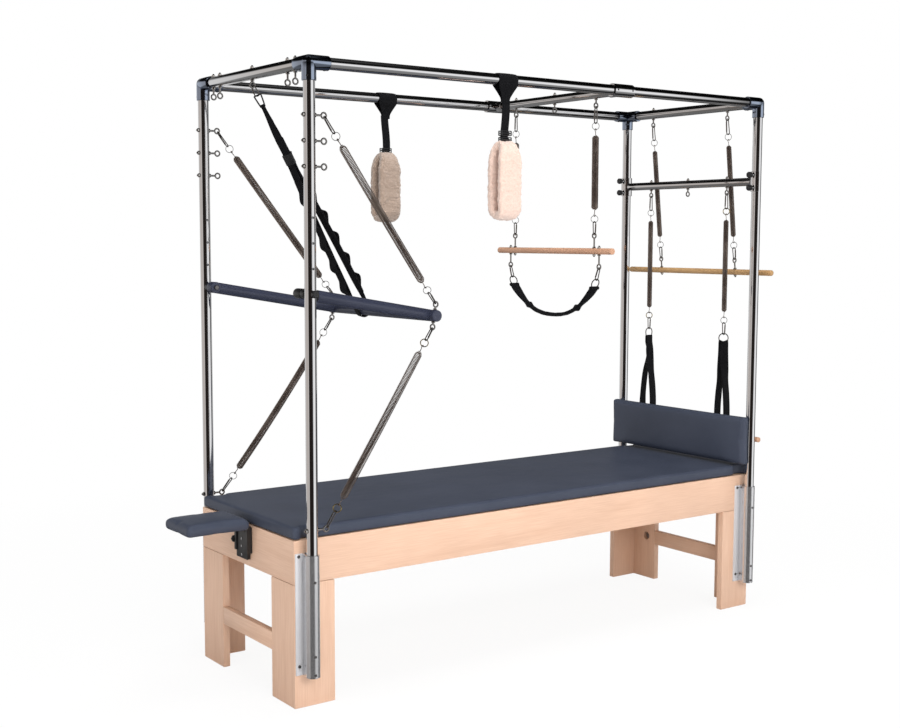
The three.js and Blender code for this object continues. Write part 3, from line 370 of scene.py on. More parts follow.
def finished(kit, colour, mottle, rough, relief, strength, distance):
    spread = addNode(kit, "MapRange", {"Value": mottle, "To Min": rough[0], "To Max": rough[1]})
    bump = addNode(kit, "Bump", {"Height": relief, "Strength": strength, "Distance": distance})
    inputs = kit["shader"].inputs
    kit["links"].new(colour, inputs["Base Color"])
    kit["links"].new(spread.outputs["Result"], inputs["Roughness"])
    kit["links"].new(bump.outputs["Normal"], inputs["Normal"])
    return kit["material"]


# lacquered maple, its grain along one axis
def maple(name, axis, pale, dark, fleck):
    kit = newKit(name, {"Coat Weight": .12, "Coat Roughness": .3})
    bands = noiseOf(kit, placed(kit, [1.6 if i == axis else 26 for i in range(3)]), 1, 5, .6)
    fine = noiseOf(kit, placed(kit, [9 if i == axis else 420 for i in range(3)]), 1, 3)
    cloud = noiseOf(kit, placed(kit, (3.2, 3.2, 3.2)), 1, 2)
    tones = rampOf(kit, bands, [(.3, dark), (.47, pale), (.62, pale), (.78, dark)])
    flecks = rampOf(kit, fine, [(.38, grey(0)), (.62, grey(.55))])
    clouds = rampOf(kit, cloud, [(.35, grey(.93)), (.7, grey(1))])
    colour = mixedColour(kit, 1.0, mixedColour(kit, flecks, tones, fleck), clouds, "MULTIPLY")
    return finished(kit, colour, fine, (.42, .56), fine, .12, .0004)


def plywood(name, pale, dark):
    kit = newKit(name)
    plies = waveOf(kit, placed(kit, (1, .05, .05)), 95, .6, 2, "X")
    fine = noiseOf(kit, placed(kit, (300, 12, 300)), 1, 3)
    colour = mixedColour(kit, fine, mixedColour(kit, plies, pale, dark), pale)
    return finished(kit, colour, fine, (.55, .75), fine, .2, .0005)


def vinyl(name, base, light):
    kit = newKit(name, {"Specular IOR Level": .3})
    vector = placed(kit, (1, 1, 1))
    grain = {"Vector": vector, "Scale": 620, "Randomness": 1}
    cells = addNode(kit, "TexVoronoi", grain, feature="DISTANCE_TO_EDGE").outputs["Distance"]
    pores = noiseOf(kit, vector, 900, 3)
    creases = addNode(kit, "Math", {0: pores, 1: .35, 2: cells}, operation="MULTIPLY_ADD")
    cloud = noiseOf(kit, vector, 5, 3)
    wear = rampOf(kit, cloud, [(.3, grey(0)), (.75, grey(1))])
    return finished(kit, mixedColour(kit, wear, base, light), cloud, (.38, .5), creases, .25, .0004)


def polished(name, colour, low, high):
    kit = newKit(name, {"Metallic": 1})
    haze = noiseOf(kit, placed(kit, (1, 1, 1)), 14, 5)
    scratches = noiseOf(kit, placed(kit, (900, 900, 60)), 1, 2)
    shade = mixedColour(kit, haze, colour, dimmed(colour, .95))
    return finished(kit, shade, haze, (low, high), scratches, .02, .0001)


def extruded(name, colour, metallic):
    kit = newKit(name, {"Metallic": metallic})
    lines = noiseOf(kit, placed(kit, (1500, 1500, 6)), 1, 3)
    shade = mixedColour(kit, lines, colour, dimmed(colour, .86))
    return finished(kit, shade, lines, (.16, .3), lines, .15, .0002)


def moulded(name, colour, low, high, grain=700):
    kit = newKit(name)
    vector = placed(kit, (1, 1, 1))
    cloud = noiseOf(kit, vector, 9, 3)
    shade = mixedColour(kit, cloud, colour, tuple(min(1, c * 1.25 + .004) for c in colour))
    return finished(kit, shade, cloud, (low, high), noiseOf(kit, vector, grain, 3), .12, .0002)


def springWire(name, colour, dark):
    kit = newKit(name, {"Metallic": .85})
    vector = placed(kit, (1, 1, 1))
    tarnish = noiseOf(kit, vector, 14, 3)
    shade = rampOf(kit, tarnish, [(.35, dark), (.65, colour)])
    return finished(kit, shade, tarnish, (.24, .36), noiseOf(kit, vector, 1400, 2), .05, .0001)


# woven tape: ribs across it, a twill between them and fuzz
def wovenTape(name, colour, light, rib=.0013):
    kit = newKit(name, {"Sheen Weight": .03, "Sheen Roughness": .4, "Specular IOR Level": .22})
    strands = waveOf(kit, placed(kit, (1, 1, 1), True), .5 / rib, .3, 1, "Y")
    twill = waveOf(kit, placed(kit, (1, .6, 0), True), .5 / rib, .2, 1, "DIAGONAL")
    weave = addNode(kit, "Math", {0: strands, 1: twill}, operation="MULTIPLY").outputs[0]
    fuzz = noiseOf(kit, placed(kit, (1, 1, 1)), 1600, 2)
    return finished(kit, mixedColour(kit, weave, colour, light), fuzz, (.5, .75), weave, .5, .0005)


def fleeceWool(name, pale, shade):
    kit = newKit(name, {"Sheen Weight": .6, "Sheen Roughness": .6})
    vector = placed(kit, (1, 1, 1))
    tufts = noiseOf(kit, vector, 160, 4, .8)
    shades = rampOf(kit, tufts, [(.32, shade), (.58, pale)])
    return finished(kit, shades, tufts, (.85, 1), noiseOf(kit, vector, 620, 3, 1.5), .7, .0012)


mapleTones = {"pale": (.80, .54, .395), "dark": (.74, .48, .34), "fleck": (.68, .42, .285)}
mapleX = maple("mapleLengthwise", 0, **mapleTones)
mapleY = maple("mapleCrosswise", 1, **mapleTones)
mapleZ = maple("mapleUpright", 2, **mapleTones)
birchPly = plywood("birchPly", (.62, .43, .25), (.36, .22, .11))
beech = maple("beechRod", 1, (.62, .36, .235), (.55, .3, .19), (.48, .25, .15))
oakRod = maple("oakRod", 1, (.58, .36, .17), (.48, .28, .12), (.4, .22, .09))
matVinyl = vinyl("greyVinyl", (.046, .055, .082), (.06, .07, .101))
chrome = polished("chrome", (.77, .77, .78), .04, .1)
nickel = polished("nickelWire", (.3, .275, .255), .12, .22)
eyeSteel = polished("eyeSteel", (.5, .48, .46), .08, .16)
brassRing = polished("brassRing", (.86, .68, .3), .2, .32)
aluminium = extruded("aluminium", (.82, .82, .85), .35)
brightAluminium = extruded("brightAluminium", (.8, .8, .82), .88)
# chrome for the elbows, tinted dark blue: a painted blue reflection, not a blue finish
chromePaintedBlueReflection = polished("chromePaintedBlueReflection", (.34, .4, .51), .05, .12)
blackPlastic = moulded("blackPlastic", (.012, .012, .013), .3, .45)
slatePaint = moulded("slatePaint", (.026, .03, .052), .3, .42, 420)
oiledSpring = springWire("oiledSpring", (.42, .345, .3), (.24, .185, .16))
webbing = wovenTape("blackWebbing", (.004, .004, .005), (.011, .011, .014))
wool = fleeceWool("fleeceWool", (.79, .585, .495), (.66, .475, .39))
# the front wool's tones at about half brightness for the back loop: painted shade
woolPaintedShade = fleeceWool("woolWithPaintedShade", (.39, .285, .22), (.31, .222, .168))
steelScrew = polished("screwSteel", (.25, .24, .24), .25, .4)

print("materials made")


# more shapes: pipes, screws, nuts, eyebolts and hand grips
def pipeOf(start, end, radius, wall, edge, count):
    length = (Vector(end) - Vector(start)).length
    inner = radius - wall
    foot = [(inner, edge), (inner + edge, 0), (radius - edge, 0), (radius, edge)]
    profile = foot + [(r, length - z) for r, z in reversed(foot)]
    shape = turnedShape(profile, count)
    last = (len(profile) - 1) * count
    for i in range(count):
        j = (i + 1) % count
        shape["faces"].append([last + i, last + j, j, i])
    return moved(shape, between(start, end))


# cap screw with a hexagon socket, its head standing up along a direction
def screw(place, way, radius, height):
    rim = radius * .82
    head = turnedShape([(0, -.002), (radius, -.002), (radius, height * .5), (rim, height),
                        (radius * .5, height), (radius * .46, height * .25), (0, height * .25)], 18)
    return moved(head, between(place, Vector(place) + Vector(way)))


def hexNut(start, end, radius):
    length = (Vector(end) - Vector(start)).length
    ease = radius * .12
    nut = turnedShape([(0, 0), (radius - ease, 0), (radius, ease * .6), (radius, length - ease * .6),
                       (radius - ease, length), (0, length)], 6)
    return moved(nut, between(start, end))


eye = {"ring": .0095, "wire": .003, "shank": .0035, "nut": .0072, "nutHeight": .006, "washer": .0085,
       "pitch": .0012, "turns": 7}


# eye hanging a reach below round stock, with its collar on the stock
def eyeFoot(radius, reach):
    collar = turnedShape([(0, 0), (.006, 0), (.0072, .0012), (.0072, .0045), (.005, .0065), (0, .0065)], 20)
    return joined(
        moved(collar, shift(0, 0, -radius - .0055)),
        rod((0, 0, -radius + .002), (0, 0, -reach + eye["ring"] - .001), eye["shank"], 0, 14),
        torus(eye["ring"], eye["wire"], (0, 0, -reach), (0, 1, 0), 32, 12))


# nut, washer and thread end of an eyebolt on top of round stock
def eyeTop(radius):
    top = radius + eye["nutHeight"]
    pitch, turns = eye["pitch"], eye["turns"]
    thread = [(0, 0)]
    for i in range(turns):
        thread += [(.0035, i * pitch), (.0031, (i + .5) * pitch)]
    thread += [(.0028, turns * pitch), (0, turns * pitch)]
    washer = turnedShape([(0, 0), (eye["washer"], 0), (eye["washer"], .0012), (0, .0012)], 24)
    return joined(
        hexNut((0, 0, radius - .001), (0, 0, top), eye["nut"]),
        moved(washer, shift(0, 0, radius - .0012)),
        moved(turnedShape(thread, 14), shift(0, 0, top - .0044)))


def eyebolt(radius, reach):
    return joined(eyeFoot(radius, reach), eyeTop(radius))


def eyeRow(radius, reach, places):
    return joined(*[moved(eyebolt(radius, reach), place) for place in places])


# rod across the table, as long to both sides of its middle
def crossRod(x, z, reach, radius, edge, count=48):
    return rod((x, -reach, z), (x, reach, z), radius, edge, count)


# hand knob along +Z with a lobed grip, on a shank that reaches down
def knob(radius, length, depth, shank, reach):
    lobes = 7
    grip = ((.93, .2), (1, .32), (1, .8), (.95, .93), (.8, .985), (.45, 1), (.4, .985), (0, .97))
    profile = [(0, -reach), (shank, -reach), (shank, 0), (radius * .62, 0), (radius * .72, .001)]
    profile += [(radius * out, length * up) for out, up in grip]
    shape = turnedShape(profile, lobes * 8)
    p = shape["points"]
    flat = np.hypot(p[:, 0], p[:, 1])
    share = np.clip((flat / radius - .65) / .3, 0, 1)
    wave = 1 - depth * share * (.5 - .5 * np.cos(lobes * np.arctan2(p[:, 1], p[:, 0]))) ** 2
    p[:, 0] *= wave
    p[:, 1] *= wave
    return shape


bed = {"halfLength": 1.1345, "halfWidth": .3545, "board": .028, "railBottom": .433, "railDepth": .152,
       "legEnd": .163, "legSide": .159, "legBoard": .026, "legTop": .4310, "stretcher": .200,
       "bore": .019, "boreDepth": .017, "boreInset": .055, "edge": .0016, "deckEdge": .0012}
boltSize = {"washer": .0165, "thick": .002, "nut": .0105, "nutTop": .0085, "thread": .0048, "length": .0125}


# washer, nut and thread end at the floor of a leg's bore
def stretcherBolt(floor, inward):
    b = boltSize
    washer = turnedShape([(0, 0), (b["washer"], 0), (b["washer"], b["thick"] - .0005),
                          (b["washer"] - .0007, b["thick"]), (0, b["thick"])], 32)
    return joined(
        moved(washer, between(floor, floor + inward)),
        hexNut(floor + inward * .001, floor + inward * b["nutTop"], b["nut"]),
        rod(floor, floor + inward * b["length"], b["thread"], .001, 16))


def addBed():
    length, width, board, leg = bed["halfLength"], bed["halfWidth"], bed["board"], bed["legBoard"]
    inner, low = width - board, shift(0, 0, bed["railBottom"])
    for side, y in sides:
        outline = [(-length, y * width), (length, y * width),
                   (length - board, y * inner), (board - length, y * inner)]
        shape = moved(prism(outline, bed["railDepth"], (), bed["edge"]), low)
        addPiece("side_board_" + side, shape, mapleX, "table", "side_rail_" + side)
    for end, x in ends:
        face = x * (length - board)
        outline = [(x * length, -width), (x * length, width), (face, inner), (face, -inner)]
        shape = moved(prism(outline, bed["railDepth"], (), bed["edge"]), low)
        addPiece("end_board_" + end, shape, mapleY, "table", "end_apron_" + end)
        bar = block(*nodeBox("stretcher_" + end), bed["edge"])
        addPiece("stretcher_bar_" + end, bar, mapleY, "table", "stretcher_" + end)
        for side, y in sides:
            deep, wide = bed["legSide"], bed["legEnd"]
            corner = [(0, 0), (deep, 0), (deep, leg), (leg, leg), (leg, wide), (0, wide)]
            outline = [(x * (length - a), y * (width - b)) for a, b in corner]
            bore = Vector((x * (length - leg), y * (width - wide + bed["boreInset"]), bed["stretcher"]))
            inward = Vector((-x, 0, 0))
            hole = rod(bore - inward * bed["boreDepth"], bore + inward * .004, bed["bore"], 0, 40)
            shape = prism(outline, bed["legTop"], (), bed["edge"])
            addPiece(f"leg_board_{side}_{end}", shape, mapleZ, "table", f"leg_{side}_{end}", cuts=[hole])
            floor = bore - inward * (bed["boreDepth"] - .0005)
            addPiece(f"stretcher_bolt_{side}_{end}", stretcherBolt(floor, inward), steelScrew, "table")
    addPiece("deck_board", block(*nodeBox("deck_panel"), bed["deckEdge"]), birchPly, "table", "deck_panel")


addBed()
print("bed made")


tube = {"radius": .020, "wall": .0025, "edge": .0006, "rail": 2.180, "railEdge": .0008, "halfSpan": 1.088,
        "halfWidth": .398, "bottom": .122, "top": 2.152, "gap": .028}
elbowSize = {"radius": .0245, "edge": .0018, "reach": .072, "drop": .060, "screwInset": .014}
bracketSize = {"bottom": .117, "height": .424, "flange": .044, "thick": .005, "web": .017, "webThick": .005,
               "standoff": .0435, "sleeve": .025, "bore": .0203, "side": .031,
               "flangeScrews": (.531, .148), "setScrews": (.450, .193, .129), "setX": .0035, "setOut": .0246}
pivotSize = {"height": 1.422, "spacer": .016, "spacerFace": .0185, "face": .0467, "inner": .0893,
             "head": .009, "headLength": .006, "bolt": .0048, "boltEnd": .018, "knob": .013,
             "knobLength": .018, "knobFace": .0202, "nut": .009, "nutFaces": (.0215, .029),
             "nutWasher": .0105, "washerFaces": (.0195, .0218)}
leftEyes = (2.010, 1.926, 1.842, .625)
leftEyeReach = .055
adjustHoles = {"levels": (1.674, 1.590, 1.506), "radius": .0045, "half": .03}
endEyes = {"left": ((0, .038), (-.255, .054), (.255, .054), (-.308, .054), (.308, .054)),
           "right": ((-.226, .049), (.226, .049))}  # place along the rail and reach below it


def arc(x, y, radius, start, end, count):
    angles = [start + (end - start) * i / count for i in range(count + 1)]
    return [(x + radius * math.cos(a), y + radius * math.sin(a)) for a in angles]


def roundedOutline(lowX, lowY, highX, highY, radius, count=6):
    corners = ((highX - radius, highY - radius), (lowX + radius, highY - radius),
               (lowX + radius, lowY + radius), (highX - radius, lowY + radius))
    outline = []
    for k, (x, y) in enumerate(corners):
        outline += arc(x, y, radius, k * quarterTurn, (k + 1) * quarterTurn, count)
    return outline


# round sleeve on a hollow web, bored for its post
def bracketShape():
    b = bracketSize
    meet = math.acos(b["web"] / b["sleeve"])
    inner = b["web"] - b["webThick"]
    innerMeet = math.acos(inner / b["sleeve"])
    root = b["thick"] - .0004
    sleeve = arc(0, b["standoff"], b["sleeve"], -meet, halfTurn + meet, 36)
    outline = [(b["web"], root)] + sleeve + [(-b["web"], root)]
    hollow = arc(0, b["standoff"], b["sleeve"], halfTurn + innerMeet, 2 * halfTurn - innerMeet, 10)
    hollow = [(-inner, b["thick"])] + hollow + [(inner, b["thick"])]
    hole = arc(0, b["standoff"], b["bore"], 0, 2 * halfTurn, 40)[:-1]
    return prism(outline, b["height"], (hollow, hole), .0006)


def bracketScrews():
    b = bracketSize
    heads = [screw((x, b["thick"], z - b["bottom"]), (0, 1, 0), .0056, .0036)
             for z in b["flangeScrews"] for x in (-b["side"], b["side"])]
    heads += [screw((b["setX"], b["standoff"] + b["setOut"], z - b["bottom"]), (.14, 1, 0), .0046, .0026)
              for z in b["setScrews"]]
    return joined(*heads)


# the elbow's three sockets: the way and length of each, and the side its screw is on
sockets = (((1, 0, 0), "reach", (0, 0, -1)), ((0, 1, 0), "reach", (0, 0, -1)),
           ((0, 0, -1), "drop", (-1, -1, 0)))


def elbowShape():
    e = elbowSize
    arms = [rod((0, 0, 0), Vector(way) * e[reach], e["radius"], e["edge"], 40) for way, reach, _ in sockets]
    angles = [k * halfTurn / 20 for k in range(21)]
    ball = turnedShape([(max(0, e["radius"] * math.sin(a)), -e["radius"] * math.cos(a)) for a in angles], 40)
    ball["points"][np.abs(ball["points"]) < 1e-9] = 0
    return joined(ball, *arms)


def elbowScrews():
    e = elbowSize
    heads = []
    for way, reach, sideways in sockets:
        out = Vector(sideways).normalized()
        place = Vector(way) * (e[reach] - e["screwInset"]) + out * (e["radius"] - .0004)
        heads.append(screw(place, out, .0036, .0014))
    return joined(*heads)


# bracket, post and elbow at one corner
def addCorner(side, y, end, x):
    t, b = tube, bracketSize
    name = f"{side}_{end}"
    mount = shift(x * t["halfSpan"], y * bed["halfWidth"], b["bottom"]) @ turn(0 if y > 0 else halfTurn, "Z")
    flange = block((-b["flange"], 0, 0), (b["flange"], b["thick"], b["height"]), .0009)
    addPiece("bracket_flange_" + name, moved(flange, mount), aluminium, "table", "bracket_" + name)
    addPiece("bracket_sleeve_" + name, moved(bracketShape(), mount), brightAluminium, "table")
    addPiece("bracket_screws_" + name, moved(bracketScrews(), mount), steelScrew, "table")
    across, along = x * t["halfSpan"], y * t["halfWidth"]
    levels = adjustHoles["levels"] if end == "left" else ()
    near, far = along - adjustHoles["half"], along + adjustHoles["half"]
    holes = [rod((across, near, z), (across, far, z), adjustHoles["radius"], 0, 24) for z in levels]
    foot, top = (across, along, t["bottom"]), (across, along, t["top"])
    post = pipeOf(foot, top, t["radius"], t["wall"], t["edge"], 48)
    addPiece("post_tube_" + name, post, chrome, "table", "post_" + name, cuts=holes)
    corner = shift(across, along, t["rail"]) @ turn(math.atan2(-y, -x) - quarterTurn / 2, "Z")
    # elbows take the chrome with the painted blue reflection
    addPiece("elbow_" + name, moved(elbowShape(), corner), chromePaintedBlueReflection, "table", "corner_" + name)
    addPiece("elbow_screws_" + name, moved(elbowScrews(), corner), steelScrew, "table")


# spacer and bolt that carry one arm of the push-through bar, its hand knob in front or its nut at the back
def addPivot(side, y):
    t, p = tube, pivotSize
    centre = shift(-t["halfSpan"], y * t["halfWidth"], p["height"]) @ turn(0 if y < 0 else halfTurn, "Z")
    spacer = rod((0, p["spacerFace"], 0), (0, p["face"], 0), p["spacer"], .0015, 40)
    addPiece("pivot_spacer_" + side, moved(spacer, centre), blackPlastic, "table")
    bolt = joined(rod((0, -p["boltEnd"], 0), (0, p["inner"] + .001, 0), p["bolt"], 0, 20),
                  rod((0, p["inner"], 0), (0, p["inner"] + p["headLength"], 0), p["head"], .0015, 28))
    addPiece("pivot_bolt_" + side, moved(bolt, centre), steelScrew, "table")
    if side == "front":
        outward = between((0, -p["knobFace"], 0), (0, -1, 0))
        grip = moved(knob(p["knob"], p["knobLength"], .07, .006, .001), outward)
        addPiece("pivot_knob", moved(grip, centre), blackPlastic, "table")
    else:
        near, far = p["nutFaces"]
        inside, outside = p["washerFaces"]
        nut = joined(hexNut((0, -near, 0), (0, -far, 0), p["nut"]),
                     rod((0, -inside, 0), (0, -outside, 0), p["nutWasher"], .0004, 28))
        addPiece("pivot_nut", moved(nut, centre), steelScrew, "table")


def addCanopy():
    t = tube
    for end, x in ends:
        for side, y in sides:
            addCorner(side, y, end, x)
    reach = t["halfSpan"] - t["gap"]
    for side, y in sides:
        along = y * t["halfWidth"]
        rail = rod((-reach, along, t["rail"]), (reach, along, t["rail"]), t["radius"], t["railEdge"], 48)
        addPiece("rail_tube_" + side, rail, chrome, "table", "rail_top_" + side)
    for end, x in ends:
        across = x * t["halfSpan"]
        rail = crossRod(across, t["rail"], t["halfWidth"] - t["gap"], t["radius"], t["railEdge"])
        addPiece("rail_tube_" + end, rail, chrome, "table", "rail_top_" + end)
        eyes = [moved(eyebolt(t["radius"], drop), shift(across, y, t["rail"])) for y, drop in endEyes[end]]
        addPiece("rail_eyes_" + end, joined(*eyes), eyeSteel, "table")
    for side, y in sides:
        places = [shift(-t["halfSpan"], y * t["halfWidth"], z) @ turn(-quarterTurn, "Y") for z in leftEyes]
        addPiece("post_eyes_" + side, eyeRow(t["radius"], leftEyeReach, places), eyeSteel, "table")
        addPivot(side, y)


addCanopy()
print("canopy made")


snap = {"wire": .0025, "thin": .0021, "top": .0058, "foot": .0078, "upper": .072, "lower": .058}
splitRing = {"radius": .014, "wire": .0018, "thin": .00095}
springs = {"heavy": {"radius": .014, "wire": .0015}, "light": {"radius": .0115, "wire": .0013}, "tail": .024,
           "waist": .45, "shoulder": 3, "steps": 10}
hangDrop = (eye["ring"] - eye["wire"]) * math.cos(halfTurn / 8) - snap["wire"] - .0003


# pear-shaped snap hook in the Y-Z plane, from the middle of its top wire down
def snapHook(length, narrow=None, wide=None):
    narrow, wide = narrow or snap["top"], wide or snap["foot"]
    drop = length - 2 * snap["wire"]
    path = arc(0, -narrow, narrow, 0, halfTurn, 9) + arc(0, wide - drop, wide, halfTurn, 2 * halfTurn, 11)
    body = wire([(0, y, z) for y, z in path], snap["thin"], 8, True, (1, 0, 0))
    high, low = Vector((0, narrow, -narrow)), Vector((0, wide, wide - drop))
    gate = rod(low.lerp(high, .12), low.lerp(high, .9), snap["thin"] * 1.45, .0008, 12)
    hinge, half = low.lerp(high, .1), Vector((.0034, 0, 0))
    pin = rod(hinge - half, hinge + half, .0011, .0003, 10)
    return joined(body, gate, pin)


def doubleRing(radius, thin):
    count = 56
    path = []
    for i in range(count + 1):
        angle = 4 * halfTurn * i / count + .6
        path.append((radius * math.cos(angle), thin * (2 * i / count - 1), radius * math.sin(angle)))
    return wire(path, thin, 8)


def ringDrop(length, radius, thick):
    return length - 2 * snap["wire"] - (snap["wire"] + thick - .0006) + radius


# hooked end of the spring wire; its way is 1 up or -1 down
def wireHook(z, way):
    loop, centre = .0043, z - way * .0004
    points = [(0, loop * math.sin(a), centre + way * loop * math.cos(a)) for a in np.linspace(-2.2, 2.5, 13)]
    points += [(0, .0012, centre - way * .0072), (0, 0, centre - way * .0095)]
    points += [(0, 0, centre - way * s) for s in (.013, .017, .0205)]
    return points


# snap hooks and split rings of a spring that spans a length, and the wound wire between them
def springLine(span, kind, brass, ringTurn, stretch):
    size, ring = springs[kind], splitRing["radius"]
    upper = ringDrop(snap["upper"], ring, splitRing["wire"])
    lower = span - ringDrop(snap["lower"], ring, splitRing["wire"])
    upturned = shift(0, 0, -span) @ turn(halfTurn, "X")
    hooks = joined(snapHook(snap["upper"]), moved(snapHook(snap["lower"]), upturned))
    wound = doubleRing(ring, splitRing["thin"])
    solid = torus(ring, splitRing["wire"], (0, 0, 0), (0, 1, 0), 36, 12)
    rings = [moved(solid if k in brass else wound, shift(0, 0, -z) @ turn(ringTurn, "Z"))
             for k, z in enumerate((upper, lower))]
    top = -upper - ring - springs["tail"]
    foot = -lower + ring + springs["tail"]
    turns = round((top - foot) / (2 * size["wire"] * stretch))
    radius = size["radius"] - size["wire"]
    count = turns * springs["steps"]
    share = np.arange(count + 1) / count
    near = np.clip(np.minimum(share, 1 - share) * turns / springs["shoulder"], 0, 1)
    reach = radius * (springs["waist"] + (1 - springs["waist"]) * np.sin(near * quarterTurn))
    angle = 2 * halfTurn * turns * share
    winding = np.stack([reach * np.cos(angle), reach * np.sin(angle), top + (foot - top) * share], 1)
    path = wireHook(-upper - ring, 1) + winding.tolist() + wireHook(-lower + ring, -1)[::-1]
    return hooks, rings, wire(path, size["wire"], 6)


# a hung spring; one with a blend runs between the table and the push-through bar and is left unparented
def addSpring(name, node, span, kind, place, body, blend=None, sag=0.0, brass=(), stretch=1.02, ringTurn=-.6):
    hooks, rings, winding = springLine(span, kind, brass, ringTurn, stretch)

    def put(shape):
        if sag:
            share = np.clip(-shape["points"][:, 2] / span, 0, 1)
            low = np.array(place.inverted().to_3x3() @ Vector((0, 0, -1)))
            shape = {**shape, "points": shape["points"] + low * (4 * sag * share * (1 - share))[:, None]}
        return moved(shape, place)

    parts = {"chrome": [hooks], "brass": []}
    for k, ring in enumerate(rings):
        parts["brass" if k in brass else "chrome"].append(ring)
    addPiece("coil_" + name, put(winding), oiledSpring, body, node, 60, blend)
    addPiece("hooks_" + name, put(joined(*parts["chrome"])), nickel, body, None, 50, blend)
    if parts["brass"]:
        addPiece("rings_" + name, put(joined(*parts["brass"])), brassRing, body, None, 50, blend)


slide = {"place": .300, "sleeve": .104, "wall": .005, "bore": .0203, "stub": .060, "stubRadius": .0215,
         "radius": .0175, "eyes": .253, "eyeReach": .045, "screws": .038, "screwOut": .0251, "lap": .0215}
clamp = {"height": 1.853, "saddle": .084, "radius": .0253, "bore": .0203, "gap": math.radians(140),
         "boss": .008, "bossEnds": (.0323, .0212), "pitch": .054, "knob": .013, "knobLength": .020,
         "knobFace": .0326, "eyes": .232, "eyeReach": .043}


def addSlide():
    s, t = slide, tube
    x, z, lap = s["place"], t["rail"], s["lap"]
    tees = []
    for _, y in sides:
        centre = y * t["halfWidth"]
        near, far = (x - s["sleeve"] / 2, centre, z), (x + s["sleeve"] / 2, centre, z)
        tees.append(pipeOf(near, far, s["bore"] + s["wall"], s["wall"], .001, 40))
        inner = y * (t["halfWidth"] - s["stub"])
        tees.append(rod((x, y * (t["halfWidth"] - lap), z), (x, inner, z), s["stubRadius"], .0015, 40))
    addPiece("slide_tees", joined(*tees), chrome, "top_crossbar")
    bar = crossRod(x, z, t["halfWidth"] - lap, s["radius"], .0005)
    addPiece("slide_bar", bar, chrome, "top_crossbar", "crossbar_top")
    places = [shift(x, y, z) for y in (-s["eyes"], 0, s["eyes"])]
    addPiece("slide_eyes", eyeRow(s["radius"], s["eyeReach"], places), eyeSteel, "top_crossbar")
    heads = [screw((x + k * s["screws"], y * (t["halfWidth"] + s["screwOut"]), z), (0, y, 0), .0036, .0014)
             for _, y in sides for k in (-1, 1)]
    addPiece("slide_screws", joined(*heads), steelScrew, "top_crossbar")


def addClamps():
    c, t = clamp, tube
    x, z = t["halfSpan"], c["height"]
    bar = crossRod(x, z, t["halfWidth"] - c["radius"] + .0015, slide["radius"], .0005)
    addPiece("clamp_bar", bar, chrome, "low_crossbar", "crossbar_low")
    saddles = []
    for side, y in sides:
        middle = y * quarterTurn / 2
        start, end = middle + c["gap"] / 2, middle + 2 * halfTurn - c["gap"] / 2
        outline = arc(0, 0, c["radius"], start, end, 28) + arc(0, 0, c["bore"], end, start, 28)
        saddle = prism(outline, c["saddle"], (), .0008)
        saddles.append(moved(saddle, shift(x, y * t["halfWidth"], z - c["saddle"] / 2)))
        for level, k in (("lower", -1), ("upper", 1)):
            far, near, out = [Vector((x - inward, y * t["halfWidth"], z + k * c["pitch"] / 2))
                              for inward in (*c["bossEnds"], c["knobFace"])]
            saddles.append(pipeOf(far, near, c["boss"], .0035, .0006, 24))
            grip = knob(c["knob"], c["knobLength"], .1, .004, .0118)
            grip = moved(grip, between(out, out - Vector((1, 0, 0))))
            node = f"clamp_knob_{side}_{level}"
            addPiece(f"clamp_grip_{side}_{level}", grip, blackPlastic, node + "_turn", node)
    addPiece("clamp_saddles", joined(*saddles), chrome, "low_crossbar")
    places = [shift(x, y, z) for y in (-c["eyes"], 0, c["eyes"])]
    addPiece("clamp_eyes", eyeRow(slide["radius"], c["eyeReach"], places), eyeSteel, "low_crossbar")


addSlide()
addClamps()
print("crossbars made")


# strap section: width across, thickness through, with round edges
def strapSection(width, thick, steps=3):
    edge = thick / 2
    flat = width / 2 - edge
    angles = np.linspace(0, halfTurn, 2 * steps + 1)
    right = [(flat + edge * math.sin(a), -edge * math.cos(a)) for a in angles]
    top = [(x, edge) for x in np.linspace(flat, -flat, 9)[1:-1]]
    left = [(-x, -y) for x, y in right]
    foot = [(x, -edge) for x in np.linspace(-flat, flat, 9)[1:-1]]
    return right + top + left + foot


# points run smoothly through those given
def smoothPath(points, count, closed=False):
    points = np.array(points, float)
    if closed:
        points = np.vstack([points[-1:], points, points[:2]])
    else:
        points = np.vstack([2 * points[0] - points[1], points, 2 * points[-1] - points[-2]])
    spans = len(points) - 3
    rows = []
    for k in range(count if closed else count + 1):
        t = min(k / count * spans, spans - 1e-9)
        i = int(t)
        t -= i
        a, b, c, d = points[i:i + 4]
        square, cube = 2 * a - 5 * b + 4 * c - d, 3 * b - a - 3 * c + d
        rows.append(.5 * (2 * b + (c - a) * t + square * t * t + cube * t ** 3))
    return np.array(rows)


bars = {"trapeze": {"radius": .0125, "length": .724, "span": .508, "eye": .062, "sling": .283},
        "roll": {"radius": .0125, "length": .874, "span": .612, "eye": .052, "eyes": .226}}
slingSize = {"tilt": math.radians(19.5), "ring": .019, "ringWire": .0023, "tab": .046, "tabTurn": .0052,
             "sag": .118, "power": 2.4, "knots": .60, "knotLength": .035}


# width and depth of the sling at a share of its half length: a slim pad as far as its knot, then a strap
def slingBreadth(share):
    off, knots = abs(share), slingSize["knots"]
    if off > knots:
        out = (off - knots) / (1 - knots)
        width, depth = .024 + .026 * min(1, out * 1.25), .012 - .002 * out
    else:
        rise = math.cos(off / knots * quarterTurn)
        width, depth = .024 + .012 * rise ** .7, .0135 + .003 * rise
    bulge = math.exp(-((off - knots) / slingSize["knotLength"]) ** 2)
    return width + .008 * bulge, depth + .017 * bulge


